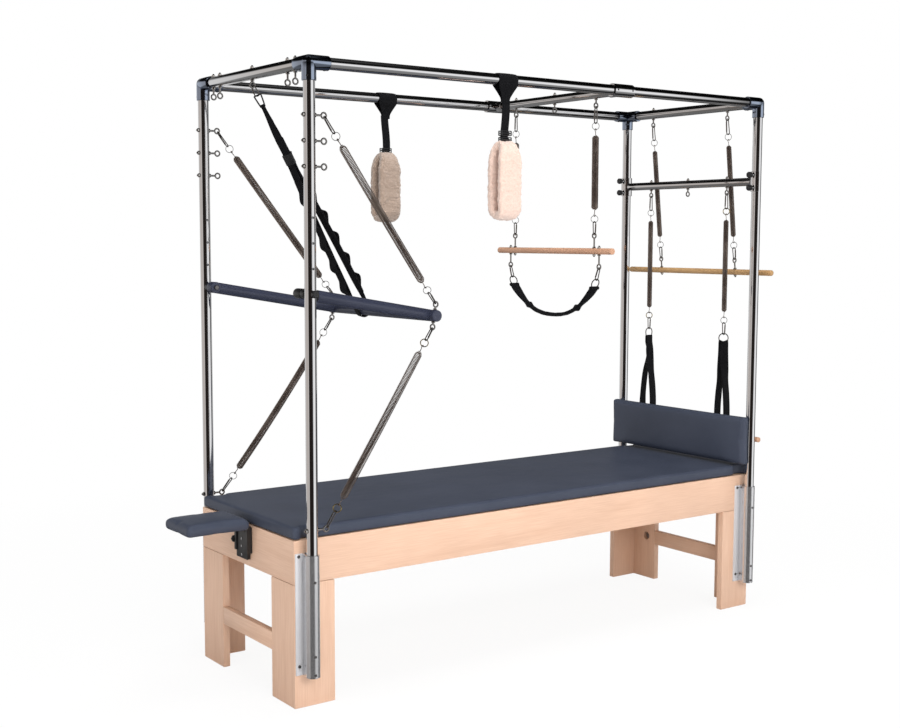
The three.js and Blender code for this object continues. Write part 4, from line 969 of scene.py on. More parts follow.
def addSling(origin, half):
    s = slingSize
    lift = eye["ring"] - hangDrop
    drop = ringDrop(snap["lower"], s["ring"], .0025)
    ring = torus(s["ring"], s["ringWire"], (0, 0, 0), (1, 0, 0), 40, 10)
    metal, lowest = [], []
    for y in (-1, 1):
        tilt = shift(0, y * half, -lift) @ turn(-y * s["tilt"], "X") @ shift(0, 0, lift)
        metal.append(moved(snapHook(snap["lower"]), tilt))
        metal.append(moved(ring, tilt @ shift(0, 0, -drop) @ turn(quarterTurn, "Z")))
        lowest.append(tilt @ Vector((0, 0, -drop - s["ring"])))
    addPiece("sling_hooks", moved(joined(*metal), origin), nickel, "trapeze")
    reach, end = lowest[1].y, lowest[1].z
    shares = np.linspace(-1, 1, 61)
    path = [(0, share * reach, end - (1 - abs(share) ** s["power"]) * s["sag"]) for share in shares]
    sizes = [slingBreadth(share) for share in shares]
    band = swept(path, strapSection(1, 1, 4), (1, 0, 0), False, sizes)
    crease = [noise.noise(Vector(p) * 42) * .0011 for p in band["points"]]
    band["points"] = band["points"] + np.array([(c * .4, c, c) for c in crease])
    turned = [(0, s["tabTurn"] * math.cos(a), s["tabTurn"] * math.sin(a))
              for a in np.linspace(0, 2 * halfTurn, 21)[:-1]]
    tab = swept(turned, strapSection(s["tab"], .0034), (1, 0, 0), True)
    tabs = [moved(tab, shift(0, y * reach, end)) for y in (-1, 1)]
    shape = moved(joined(band, *tabs), origin)
    sling = addPiece("sling_band", shape, webbing, "trapeze", "trapeze_sling", 60)


def addTrapeze():
    t = bars["trapeze"]
    top = shift(slide["place"], 0, tube["rail"] - slide["eyeReach"] - hangDrop)
    for side, y in sides:
        hung = top @ shift(0, y * slide["eyes"], 0)
        addSpring("trapeze_" + side, "trapeze_spring_" + side, t["span"], "heavy", hung, "trapeze")
    level = top @ shift(0, 0, -t["span"] - hangDrop - t["eye"])
    bar = rod((0, -t["length"] / 2, 0), (0, t["length"] / 2, 0), t["radius"], .0012, 40)
    addPiece("trapeze_rod", moved(bar, level), beech, "trapeze", "trapeze_bar")
    places = []
    for y in (-1, 1):
        places.append(level @ shift(0, y * slide["eyes"], 0) @ turn(halfTurn, "X"))
        places.append(level @ shift(0, y * t["sling"], 0))
    addPiece("trapeze_eyes", eyeRow(t["radius"], t["eye"], places), eyeSteel, "trapeze")
    addSling(level @ shift(0, 0, -t["eye"] - hangDrop), t["sling"])


addTrapeze()
print("trapeze made")


def addRollDown():
    r = bars["roll"]
    hinge = tube["rail"] - .049 - hangDrop
    lean = math.asin((slide["radius"] + .0115 + .0006) / (hinge - clamp["height"]))
    top = shift(tube["halfSpan"], 0, hinge) @ turn(-lean, "Y")
    for side, y in sides:
        hung = top @ shift(0, y * r["eyes"], 0)
        addSpring("roll_" + side, "rolldown_spring_" + side, r["span"], "light", hung, "roll_down")
    level = top @ shift(0, 0, -r["span"] - hangDrop - r["eye"])
    bar = rod((0, -r["length"] / 2, 0), (0, r["length"] / 2, 0), r["radius"], .0085, 40)
    addPiece("roll_rod", moved(bar, level), oakRod, "roll_down", "rolldown_bar")
    places = [level @ shift(0, y * r["eyes"], 0) @ turn(halfTurn, "X") for y in (-1, 1)]
    addPiece("roll_eyes", eyeRow(r["radius"], r["eye"], places), eyeSteel, "roll_down")


addRollDown()

handLoop = {"ring": .020, "wire": .0023, "length": .366, "half": {"front": .031, "back": .038},
            "width": .037, "drop": .6507, "strap": .003, "pad": .0085, "arc": .22, "steps": 96,
            "front": -.8, "back": (-.5, .75)}  # front and back: how far the strands are turned


def softStep(value, low, high):
    share = min(1, max(0, (value - low) / (high - low)))
    return share * share * (3 - 2 * share)


# hand loop: a strap through the ring's flat side, its strands opening along Y and turned as they hang
def loopBand(side):
    h = handLoop
    half, length = h["half"][side], h["length"] - .004
    low, bend, seat = length - half, half - .004, .0048
    path, across, sizes = [], [], []
    for k in range(h["steps"] + 1):
        share = k / h["steps"] * 2 - 1
        if abs(share) > h["arc"]:
            up = (abs(share) - h["arc"]) / (1 - h["arc"])
            rise = math.sin(min(1, (1 - up) * 1.02) ** 1.25 * quarterTurn) ** 1.6
            path.append((0, math.copysign(seat + (bend - seat) * rise, share), -(1 - up) * low))
        else:
            a = share / h["arc"] * quarterTurn
            path.append((0, bend * math.sin(a), -low - bend * math.cos(a)))
    path += [(0, seat * math.cos(a), seat * math.sin(a)) for a in np.linspace(0, halfTurn, 10)[1:-1]]
    for _, out, z in path:
        hanging = 1 - softStep(-z, .07, .185)
        padded = softStep(-z, .13, .23)
        if side == "front":
            angle = h["front"] * hanging
        else:
            angle = h["back"][0 if out < 0 else 1] * hanging * softStep(-z, .02, .07)
            padded *= softStep(-z, .26, .33) if out > 0 else 1
        across.append((math.cos(angle), math.sin(angle), 0))
        sizes.append((.97, 1 + (h["pad"] / h["strap"] - 1) * padded))
    return swept(path, strapSection(h["width"], h["strap"], 3), across, True, sizes)


def addLoops():
    h = handLoop
    r = h["ring"]
    ring = [(r * math.cos(a), 0, r + r * math.sin(a)) for a in np.linspace(-.3, halfTurn + .3, 22)]
    ring += [(-r * .9, 0, .002), (-r * .5, 0, 0), (0, 0, 0), (r * .5, 0, 0), (r * .9, 0, .002)]
    loopRing = wire(ring, h["wire"], 10, True, (0, 1, 0))
    span = h["drop"] - (2 * r - .0025 - snap["wire"] - .0003)
    for side, y in sides:
        body = "loop_" + side
        top = shift(tube["halfSpan"], y * clamp["eyes"], clamp["height"] - clamp["eyeReach"] - hangDrop)
        brass = (0,) if side == "front" else (1,)
        addSpring("loop_" + side, "loop_spring_" + side, span, "light", top, body, brass=brass)
        foot = top @ shift(0, 0, -h["drop"])
        start = h["front"] if side == "front" else 0
        addPiece("loop_ring_" + side, moved(loopRing, foot @ turn(start, "Z")), nickel, body)
        band = moved(loopBand(side), foot)
        addPiece("loop_strap_" + side, band, webbing, body, "hand_loop_" + side, 50)


addLoops()
print("roll-down bar and hand loops made")


fleece = {"place": -.272, "wrapWidth": .086, "strap": .038, "thick": .0034, "foot": .2163, "length": .290,
          "width": .101, "depth": .090, "pile": .031, "neck": .050, "tuft": .0035,
          "around": 46, "steps": 150,
          "sway": {"front": .004, "back": -.005}, "buckles": {"front": (-.191, -.214), "back": (-.211,)}}
buckle = {"half": .0235, "depth": .0066, "high": .0095, "ease": .003, "thick": .0042, "slot": (.0015, .0062)}


# the pad's way round: two straight sides and two half circles
def fleeceOutline(half, straight):
    count = fleece["steps"]
    perimeter = 4 * straight + 2 * halfTurn * half
    path = []
    for k in range(count):
        s = k / count * perimeter
        if s < 2 * straight:
            path.append((half, straight - s))
            continue
        s -= 2 * straight
        if s < halfTurn * half:
            a = s / half
            path.append((half * math.cos(a), -straight - half * math.sin(a)))
            continue
        s -= halfTurn * half
        if s < 2 * straight:
            path.append((-half, s - straight))
            continue
        a = (s - 2 * straight) / half
        path.append((-half * math.cos(a), straight + half * math.sin(a)))
    return path


def fleecePad():
    f = fleece
    pile = f["pile"]
    half = f["depth"] / 2 - pile / 2
    whole, sizes = [], []
    for a, b in fleeceOutline(half, f["length"] / 2 - pile / 2 - half):
        level = b - f["foot"] - f["length"] / 2
        top = min(1, max(0, (-level - f["foot"] - .004) / .080))
        soft = math.sin(top * quarterTurn) ** .8
        low = min(1, max(0, (f["foot"] + f["length"] + level) / .060))
        width = f["neck"] + (f["width"] - f["neck"]) * soft
        width *= .84 + .16 * math.sin(low * quarterTurn)
        whole.append((0, a * (.55 + .45 * soft), level))
        sizes.append((width, pile))
    section = []
    for k in range(f["around"]):
        a = 2 * halfTurn * k / f["around"]
        c, s = math.cos(a), math.sin(a)
        section.append((.5 * math.copysign(abs(c) ** .38, c), .5 * math.copysign(abs(s) ** .62, s)))
    return swept(whole, section, (1, 0, 0), True, sizes)


# strap over the rail, and the length of it that carries the pad
def fleeceStrap(side):
    f = fleece
    r = tube["radius"] + .0006 + f["thick"] / 2
    rise = [(-.0024 - .0185 * min(1, max(0, (z + .075) / .058)) ** 1.3, z)
            for z in np.linspace(-.082, -.014, 12)]
    over = [(-r * math.cos(a), r * math.sin(a)) for a in np.linspace(-.45, halfTurn + .45, 30)]
    path = rise + over + [(-a, b) for a, b in rise[::-1]]
    shares = [min(1, max(0, (b + .066) / .044)) ** 1.1 for _, b in path]
    sizes = [(f["strap"] + (f["wrapWidth"] - f["strap"]) * share, f["thick"]) for share in shares]
    wrap = swept([(0, a, b) for a, b in path], strapSection(1, 1, 2), (1, 0, 0), False, sizes)
    wrap["weave"][:, 0] *= .04
    sway = f["sway"][side]
    hang = [(sway * math.sin(-z * 22), .0016 * math.sin(-z * 34), z) for z in np.linspace(-.07, -.212, 24)]
    return joined(wrap, swept(hang, strapSection(f["strap"], .0062), (1, .12, 0)))


# loop of strap flattened round a buckle's bar
def strapTurn(width, depth, height):
    angles = np.linspace(0, 2 * halfTurn, 25)[:-1]
    path = [(0, depth / 2 * math.cos(a), height / 2 * math.sin(a)) for a in angles]
    return swept(path, strapSection(width, .0022, 2), (1, 0, 0), True)


# two slotted frames with a turn of strap between them, at each level
def fleeceBuckle(levels):
    b = buckle
    w, h, margin = b["half"], b["high"], b["half"] - .004
    outline = roundedOutline(-w, -h, w, h, b["ease"], 5)
    slots = []
    for k in (-1, 1):
        near, far = k * b["slot"][0], k * b["slot"][1]
        slots.append([(-margin, near), (margin, near), (margin, far), (-margin, far)])
    slots[0] = slots[0][::-1]
    plate = prism(outline, b["thick"], slots, .0008)
    parts = []
    for z in levels:
        for y in (-b["depth"], b["depth"] + b["thick"]):
            parts.append(moved(plate, shift(0, y, z) @ turn(quarterTurn, "X")))
        parts.append(moved(strapTurn(fleece["strap"] - .002, .0128, .0085), shift(0, 0, z)))
    return joined(*parts)


def addFleeceLoops():
    f = fleece
    for side, y in sides:
        body = "fleece_" + side
        axis = shift(f["place"], y * tube["halfWidth"], tube["rail"])
        addPiece("fleece_strap_" + side, moved(fleeceStrap(side), axis), webbing, body, None, 50)
        addPiece("fleece_buckle_" + side, moved(fleeceBuckle(f["buckles"][side]), axis), blackPlastic, body)
        # the back loop gets the darkened wool, its shade painted into the colour
        pelt = wool if side == "front" else woolPaintedShade
        pad = moved(fleecePad(), axis)
        piece = addPiece("fleece_pad_" + side, pad, pelt, body, "fleece_loop_" + side, 180)
        subdivide = piece.modifiers.new("finer", "SUBSURF")
        subdivide.levels = subdivide.render_levels = 1
        settle(piece)
        tuft(piece, f["tuft"], y)


# wool tufts pushed out of a padded piece along its normals
def tuft(piece, depth, seed):
    mesh = piece.data
    points = np.empty(len(mesh.vertices) * 3)
    normals = np.empty(len(mesh.vertices) * 3)
    mesh.vertices.foreach_get("co", points)
    mesh.vertices.foreach_get("normal", normals)
    points, normals = points.reshape(-1, 3), normals.reshape(-1, 3)
    lumps = []
    for place in points:
        p = Vector((place[0], place[1] + seed, place[2]))
        lumps.append(noise.noise(p * 38) * .55 + noise.noise(p * 95) * .6 + noise.noise(p * 230) * .45 - .25)
    points += normals * depth * np.array(lumps)[:, None]
    mesh.vertices.foreach_set("co", points.ravel())
    mesh.update()


addFleeceLoops()
print("fleece loops made")


through = {"reach": .542, "droop": math.radians(9.6), "arm": .330, "radius": .021, "half": .372,
           "eyes": .352, "eyeReach": .041, "knuckle": .062, "head": .0172, "neck": .0135, "bore": .0055,
           "sags": {"front_upper": .004, "back_upper": .003, "front_lower": .004, "back_lower": .018},
           "stretch": {"front": 1.62, "back": 1.12}}
pivot = shift(-tube["halfSpan"], 0, pivotSize["height"]) @ turn(through["droop"], "Y")


def onBar(x, y, z):
    place = pivot @ Vector((x, 0, z))
    return Vector((place.x, y, place.z))


def aimed(start, end):
    up = (start - end).normalized()
    side = (Vector((0, 1, 0)) - up * up.y).normalized()
    front = side.cross(up)
    return Matrix.Translation(start) @ Matrix((front, side, up)).transposed().to_4x4()


def rowPoint(point):
    return point.x + midX, point.y, point.z


def addThroughBar():
    b = through
    for side, y in sides:
        along, knuckle = y * b["arm"], b["knuckle"]
        bore = moved(rod((0, along - .04, 0), (0, along + .04, 0), b["bore"], 0, 24), pivot)
        plain = side == "back"
        start, radius = (0, b["radius"]) if plain else (knuckle, b["head"])
        arm = rod((start, along, 0), (b["reach"] - .006, along, 0), b["radius"], .0012, 48)
        head = rod((0, along - b["radius"], 0), (0, along + b["radius"], 0), radius, .002, 48)
        cuts = [bore] if plain else ()
        addPiece("through_arm_" + side, moved(arm, pivot), slatePaint, "through_bar", cuts=cuts)
        finish = slatePaint if plain else blackPlastic
        addPiece("through_head_" + side, moved(head, pivot), finish, "through_bar", cuts=[bore])
        if not plain:
            neck = joined(
                rod((.0125, along, 0), (knuckle + .004, along, 0), b["neck"], .0006, 32),
                rod((knuckle - .005, along, 0), (knuckle + .002, along, 0), b["radius"] - .0008, .0015, 40))
            addPiece("through_neck_" + side, moved(neck, pivot), blackPlastic, "through_bar")
    bar = rod((b["reach"], -b["half"], 0), (b["reach"], b["half"], 0), b["radius"], .003, 48)
    addPiece("through_tube", moved(bar, pivot), slatePaint, "through_bar", "push_through_bar")
    places = [pivot @ shift(b["reach"], y * b["eyes"], 0) @ turn(angle, "Y")
              for _, y in sides for angle in (0, halfTurn)]
    eyes = [moved(eyeFoot(b["radius"], b["eyeReach"]), place) for place in places]
    addPiece("through_eyes", joined(*eyes), eyeSteel, "through_bar")


def addThroughSprings():
    b = through
    for side, y in sides:
        for level, height, z, ringTurn in (("upper", leftEyes[0], 1, -.6), ("lower", leftEyes[3], -1, .6)):
            start = Vector((leftEyeReach - tube["halfSpan"], y * tube["halfWidth"], height))
            end = onBar(b["reach"], y * b["eyes"], z * b["eyeReach"])
            way = end - start
            span = way.length - 2 * hangDrop
            way.normalize()
            start += way * hangDrop
            stop = start + way * span
            blend = (rowPoint(start + way * .085), rowPoint(stop - way * .075))
            name = f"{side}_{level}"
            brass = (0, 1) if name == "front_lower" else ()
            addSpring("through_" + name, "through_spring_" + name, span, "heavy", aimed(start, stop),
                      "through_bar", blend, b["sags"][name], brass, b["stretch"][side], ringTurn)


safety = {"sideways": .128, "band": .028, "thick": .0036, "twist": .9, "strandTwist": .5, "fork": .300,
          "first": .463, "pitch": .097, "pocket": .062, "pockets": 5, "bulge": .027, "lift": .0052,
          "gap": .0032, "hook": (.046, .0052, .0085), "triangle": .0027, "buckle": .300, "lever": .292,
          "roller": .060, "rollerRadius": .0098, "rollerOut": .013}
wrapRadius = through["radius"] + safety["gap"]


# how far the strap is turned at a height below its hook
def twistAt(z, length):
    above, near = softStep(z, -.345, -.225), softStep(z, -length + .02, -length + .14)
    return (safety["twist"] * above + safety["strandTwist"] * (1 - above)) * near


# the section's first axis at each point of a path, turned with the strap
def turnedAcross(path, length):
    angles = [twistAt(z, length) for _, _, z in path]
    return [(-math.sin(a), math.cos(a), 0) for a in angles]


def twistedBand(path, length, section):
    angles = [twistAt(z, length) for _, _, z in path]
    points = [(x * math.cos(a), x * math.sin(a), z) for (x, _, z), a in zip(path, angles)]
    widths = [(.5 + .5 * softStep(-z, .085, .21), 1) for _, _, z in path]
    return swept(points, section, turnedAcross(path, length), False, widths)


# half the gap between the two strands at a depth below the hook
def halfGap(depth, length):
    share = min(1, max(0, (depth - safety["fork"]) / (length - safety["fork"])))
    return wrapRadius * math.sin(share * quarterTurn) ** .9


# a point of a pocket, lifted off its strand
def outside(side, depth, lift, length):
    angle = twistAt(-depth, length)
    out = halfGap(depth, length)
    return side * (out + lift * math.cos(angle)), side * lift * math.sin(angle), -depth


# top of the strap from its triangle down, with the doubled part at the fork
def strapTop(length):
    s = safety
    lap = [(.0026, z) for z in (-.150, -.12, -.095)]
    bend = [(.0046 * math.cos(a), -.0815 + .0046 * math.sin(a)) for a in np.linspace(0, halfTurn, 9)]
    down = [(-.0026, -.095), (-.0024, -.13), (-.0018, -.19), (-.001, -.25), (0, -.305)]
    single = smoothPath([(x, 0, z) for x, z in lap + bend + down], 90)
    bulge = [(.003, -.215), (.0048, -.26), (.0085, -.30), (.0068, -.345), (.003, -.385)]
    double = smoothPath([(x, 0, z) for x, z in bulge], 30)
    return joined(twistedBand(single, length, strapSection(s["band"], s["thick"])),
                  twistedBand(double, length, strapSection(s["band"] * 1.1, .005)))


# two strands from the fork down, round the bar
def strapStrands(length):
    s, out = safety, wrapRadius + .002
    downs = [(halfGap(depth, length) + .002, -depth) for depth in np.linspace(s["fork"], length, 60)]
    under = [(out * math.cos(a), -length - out * math.sin(a)) for a in np.linspace(0, halfTurn, 22)[1:-1]]
    route = [(x, 0, z) for x, z in downs + under] + [(-x, 0, z) for x, z in downs[::-1]]
    return swept(route, strapSection(s["band"], s["thick"]), turnedAcross(route, length))


def strapPockets(length):
    s = safety
    pockets = []
    for k in range(s["pockets"]):
        middle = s["first"] + s["pitch"] * k
        for side in (-1, 1):
            lift = s["bulge"] * (.82 + .3 * abs(noise.noise(Vector((k * 1.7, side, 0)))))
            lift *= .8 if side < 0 else 1
            path = []
            for u in np.linspace(-1, 1, 26):
                arch = math.cos(u * quarterTurn)
                depth = middle + u * s["pocket"] / 2 * (1 - .12 * arch)
                path.append(outside(side, depth, s["lift"] + lift * arch ** 1.15, length))
            pockets.append(swept(path, strapSection(s["band"], .003), turnedAcross(path, length)))
    low = min(length - .02, s["first"] + s["pitch"] * (s["pockets"] - .4))
    for side in (-1, 1):
        flat = [outside(side, depth, s["lift"], length) for depth in np.linspace(s["first"] - .075, low, 60)]
        pockets.append(swept(flat, strapSection(s["band"] * .99, .0026), turnedAcross(flat, length)))
    return joined(*pockets)


def strapBuckle(length):
    s = safety
    level = turn(twistAt(-s["buckle"], length), "Z")
    body = block((-.0085, -.018, -.0215), (.0085, .018, .0215), .003)
    body = moved(body, shift(.001, 0, -s["buckle"]) @ level)
    lever = block((-.003, -.0155, -.016), (.003, .0155, .016), .0025)
    lever = moved(lever, level @ shift(.0115, 0, -s["lever"]) @ turn(.16, "Y"))
    pin = moved(rod((.010, -.0185, -.279), (.010, .0185, -.279), .0022, .0005, 14), level)
    return joined(body, lever, pin)


def addSafetyStrap():
    s = safety
    start = Vector((-tube["halfSpan"], 0, tube["rail"] - endEyes["left"][0][1]))
    end = onBar(through["reach"], s["sideways"], 0)
    way = end - start
    drop = (eye["ring"] - eye["wire"]) * math.cos(halfTurn / 8) - .0033
    length = way.length - drop
    way.normalize()
    start += way * drop
    place = aimed(start, end)
    blend = (rowPoint(start + way * .34), rowPoint(end - way * .06))
    facing = place @ turn(s["twist"], "Z")
    addPiece("strap_hook", moved(snapHook(*s["hook"]), facing), nickel, "table", None, 50)
    half = [(.0105, -.0385), (.0125, -.0415), (.0078, -.0805), (.0055, -.0815)]
    legs = [half[0]] + [(-y, z) for y, z in half] + half[:0:-1]
    legs = smoothPath([(0, y, z) for y, z in legs], 60, True)
    triangle = wire(legs, s["triangle"], 10, True, (1, 0, 0))
    addPiece("strap_triangle", moved(triangle, facing), blackPlastic, "table")
    strap = joined(strapTop(length), strapStrands(length), strapPockets(length))
    addPiece("strap_webbing", moved(strap, place), webbing, "through_bar", "safety_strap", 50, blend)
    addPiece("strap_buckle", moved(strapBuckle(length), place), blackPlastic, "table")
    depth = length - s["roller"]
    roll = pipeOf((0, -.0165, 0), (0, .0165, 0), s["rollerRadius"], .0035, .0012, 28)
    roll = moved(roll, place @ shift(-halfGap(depth, length) - s["rollerOut"], 0, -depth))
    addPiece("strap_roller", roll, nickel, "through_bar", None, 38, blend)


addThroughBar()
addThroughSprings()
addSafetyStrap()
print("push-through bar made")


# outlines stood up: X across the table and Y upward, or X upward and Y along the table
standing = Matrix(((0, 0, 1, 0), (1, 0, 0, 0), (0, 1, 0, 0), (0, 0, 0, 1)))
sideways = Matrix(((0, 1, 0, 0), (0, 0, 1, 0), (1, 0, 0, 0), (0, 0, 0, 1)))
headboard = {"back": 1.0677, "thick": .037, "half": .416, "low": .6343, "high": .8513, "edge": .009,
             "board": .011, "boardLow": .6443, "boardHigh": .7683, "boardHalf": .374, "boardGap": .0003,
             "recess": .345, "recessLow": .6763, "cleat": .362, "cleatWidth": .024, "cleatHalf": .022,
             "cleatWall": .011, "dowel": .011, "dowelX": 1.1196, "dowelZ": .744, "dowelHalf": .420}
rest = {"x": -1.1348, "plateHalf": .036, "plate": .0155, "tongue": .003, "wide": .042, "plateLow": .460,
        "plateHigh": .560, "screws": (.531, .505, .473), "inner": .0363, "outer": .0503, "armLow": .484,
        "armHigh": .5807, "depth": .020, "gap": .0003, "shelf": .245, "shelfThick": .006, "padNear": .025,
        "padFar": .275, "padHalf": .103, "padLow": .581, "padHigh": .617, "padEdge": .012,
        "knobX": .014, "knobZ": .520, "knobY": .0506, "knobHole": .0034, "knob": .0135, "knobLength": .015}
mat = {"halfLength": 1.1345, "halfWidth": .3545, "low": .5853, "high": .6303, "edge": .010,
       "notchX": 1.075, "notchHalf": .031, "notchDepth": .022, "notchLow": .55, "corner": .016}


def addHeadboard():
    h = headboard
    half, low, high, recess = h["boardHalf"], h["boardLow"], h["boardHigh"], h["recess"]
    outline = [(-half, low), (half, low), (half, high), (recess, high), (recess, h["recessLow"]),
               (-recess, h["recessLow"]), (-recess, high), (-half, high)]
    board = moved(prism(outline, h["board"], (), .0012), shift(h["back"] + h["boardGap"]) @ standing)
    addPiece("backing_board", board, birchPly, "table", "headboard_backer")
    x, z, radius, r = h["dowelX"], h["dowelZ"], h["dowel"], h["cleatHalf"]
    face = h["back"] + h["boardGap"] + h["board"] - .001
    centre = x + radius + h["cleatWall"] - r
    outline = [(z - r, face), (z - r, centre)] + arc(z, centre, r, halfTurn, 0, 14)[1:-1]
    outline += [(z + r, centre), (z + r, face)]
    hole = arc(z, x - h["boardGap"], radius + h["boardGap"], 0, 2 * halfTurn, 32)[:-1]
    cleat = prism(outline, h["cleatWidth"], (hole,), .001)
    cleats = [moved(cleat, shift(0, y * h["cleat"] - h["cleatWidth"] / 2, 0) @ sideways) for _, y in sides]
    addPiece("backing_cleats", joined(*cleats), birchPly, "table")
    dowel = crossRod(x, z, h["dowelHalf"], radius, .002, 40)
    addPiece("headboard_rod", dowel, beech, "table", "headboard_dowel")


def vertexPoints(mesh):
    points = np.empty(len(mesh.vertices) * 3)
    mesh.vertices.foreach_get("co", points)
    return points.reshape(-1, 3)


# cover blown up under pressure for some frames
def inflate(piece):
    frames = 20
    cloth = piece.modifiers.new("cloth", "CLOTH")
    cloth.settings.use_pressure = True
    cloth.settings.uniform_pressure_force = 4
    cloth.settings.effector_weights.gravity = 0
    cloth.settings.quality = 4
    cloth.point_cache.frame_start, cloth.point_cache.frame_end = 1, frames
    for step in range(1, frames + 1):
        bpy.context.scene.frame_set(step)
    settle(piece)
    bpy.context.scene.frame_set(1)


# cushion in a box, its size an edge, a voxel and the greatest swell, its crown an axis, a way and a rise
def stuffed(name, node, body, box, size, crown, notches=(), folds=.0006, simulate=True):
    low, high = Vector(box[0]), Vector(box[1])
    edge, voxel, cap = size
    axis, way, rise = crown
    inset = Vector((cap * .35,) * 3) * .5
    filling = block(low + inset, high - inset, edge, 5)
    piece = addPiece(name, filling, matVinyl, body, node, 180, None, notches)
    remesh = piece.modifiers.new("remesh", "REMESH")
    remesh.mode = "VOXEL"
    remesh.voxel_size = voxel
    settle(piece)
    before = vertexPoints(piece.data)
    if simulate:
        inflate(piece)
    mesh = piece.data
    move = vertexPoints(mesh) - before
    swell = np.maximum(np.linalg.norm(move, axis=1), 1e-9)
    after = before + move * np.minimum(1, cap / swell)[:, None]
    middle, half = np.array((low + high) / 2) + (midX, 0, 0), np.array((high - low) / 2)
    share = np.clip((after - middle) / half, -1, 1)
    first, second = [1 - share[:, other] ** 2 for other in range(3) if other != axis]
    dome = first * second * np.clip(way * share[:, axis] * .5 + .5, 0, 1)
    after[:, axis] += way * rise * dome
    soft = np.array([noise.noise(Vector(p) * 9) + .5 * noise.noise(Vector(p) * 31) for p in after])
    after[:, axis] += folds * soft * np.clip(dome * 2, 0, 1)
    seat = way * (middle[axis] - way * half[axis])
    after[:, axis] = way * np.maximum(way * after[:, axis], seat)
    mesh.vertices.foreach_set("co", after.ravel())
    mesh.materials.clear()
    mesh.materials.append(matVinyl)
    mesh.shade_smooth()
    smooth = piece.modifiers.new("smooth", "SMOOTH")
    smooth.iterations = 3
    settle(piece)


# plate on the end board, and the fork that slides on it and carries the shelf
def addRest():
    r = rest
    place = shift(r["x"], 0, 0) @ turn(halfTurn, "Z")
    plate, step = r["plate"], r["plate"] - r["tongue"]
    half = [(0, r["plateHalf"]), (step, r["plateHalf"]), (step, r["wide"]), (plate, r["wide"])]
    outline = [(x, -y) for x, y in half] + half[::-1]
    receiver = prism(outline, r["plateHigh"] - r["plateLow"], (), .0006)
    receiver = moved(receiver, place @ shift(0, 0, r["plateLow"]))
    addPiece("rest_receiver", receiver, blackPlastic, "table", "rest_plate")
    heads = [screw((plate, 0, z), (1, 0, 0), .0046, .002) for z in r["screws"]]
    addPiece("rest_screws", moved(joined(*heads), place), brightAluminium, "table")
    gap, inner, outer = r["gap"], r["inner"], r["outer"]
    groove = r["wide"] + gap
    outline = [(gap, inner), (step - gap, inner), (step - gap, groove), (plate + gap, groove),
               (plate + gap, inner), (r["depth"], inner), (r["depth"], outer), (gap, outer)]
    height = r["armHigh"] - r["armLow"] - r["shelfThick"] * .5
    shapes = []
    for y in (-1, 1):
        leg = prism([(a, y * b) for a, b in outline], height, (), .0005)
        shapes.append(moved(leg, shift(0, 0, r["armLow"])))
    shelf = prism(roundedOutline(gap, -outer, r["shelf"], outer, .012), r["shelfThick"], (), .001)
    shapes.append(moved(shelf, shift(0, 0, r["armHigh"] - r["shelfThick"])))
    x, z = r["knobX"], r["knobZ"]
    hole = moved(rod((x, -.08, z), (x, -inner - .0001, z), r["knobHole"], 0, 20), place)
    for k, shape in enumerate(shapes):
        node, cuts = "rest_arm" if k == 2 else None, [hole] if k == 0 else ()
        addPiece(f"rest_bracket_{k}", moved(shape, place), blackPlastic, "end_rest", node, 38, None, cuts)
    seat = place @ shift(x, -r["knobY"], z) @ turn(quarterTurn, "X")
    grip = knob(r["knob"], r["knobLength"], .1, .003, .0075)
    addPiece("rest_grip", moved(grip, seat), blackPlastic, "rest_knob_turn", "rest_knob")


def addCushions():
    h, r, m = headboard, rest, mat
    box = (h["back"] - h["thick"], -h["half"], h["low"]), (h["back"], h["half"], h["high"])
    stuffed("headboard_cushion", "headboard_pad", "table", box, (h["edge"], .005, .006), (0, -1, .003))
    far, near = r["x"] - r["padFar"], r["x"] - r["padNear"]
    box = (far, -r["padHalf"], r["padLow"]), (near, r["padHalf"], r["padHigh"])
    stuffed("rest_cushion", "rest_pad", "end_rest", box, (r["padEdge"], .005, .006), (2, 1, .006))
    across, deep = m["notchHalf"], m["notchDepth"]
    notch = prism(roundedOutline(-across, -deep, across, deep, m["corner"]), .12, (), .0005)
    notches = [moved(notch, shift(x * m["notchX"], y * m["halfWidth"], m["notchLow"]))
               for _, x in ends for _, y in sides]
    box = (-m["halfLength"], -m["halfWidth"], m["low"]), (m["halfLength"], m["halfWidth"], m["high"])
    size, crown = (m["edge"], .0065, .004), (2, 1, .005)
    stuffed("mat_cushion", "mat", "table", box, size, crown, notches, .0009, False)


addHeadboard()
addRest()
addCushions()
print("cushions made")


# white studio: a floor that keeps a faint shadow, a world that is white to the camera, and soft lamps
stageSize = {"floor": 9.0, "fadeFrom": .16, "fadeTo": .42, "shadow": .09}
lamps = (
    {"name": "key", "place": (-1.2, -5.2, 3.0), "aim": (.1, 0, 1.0), "size": (3.4, 2.6), "power": 195},
    {"name": "fill", "place": (-5.2, -1.4, 2.4), "aim": (0, 0, 1.0), "size": (2.6, 2.6), "power": 42},
    {"name": "top", "place": (.3, -.6, 5.2), "aim": (.2, 0, .6), "size": (3.6, 2.4), "power": 125},
)


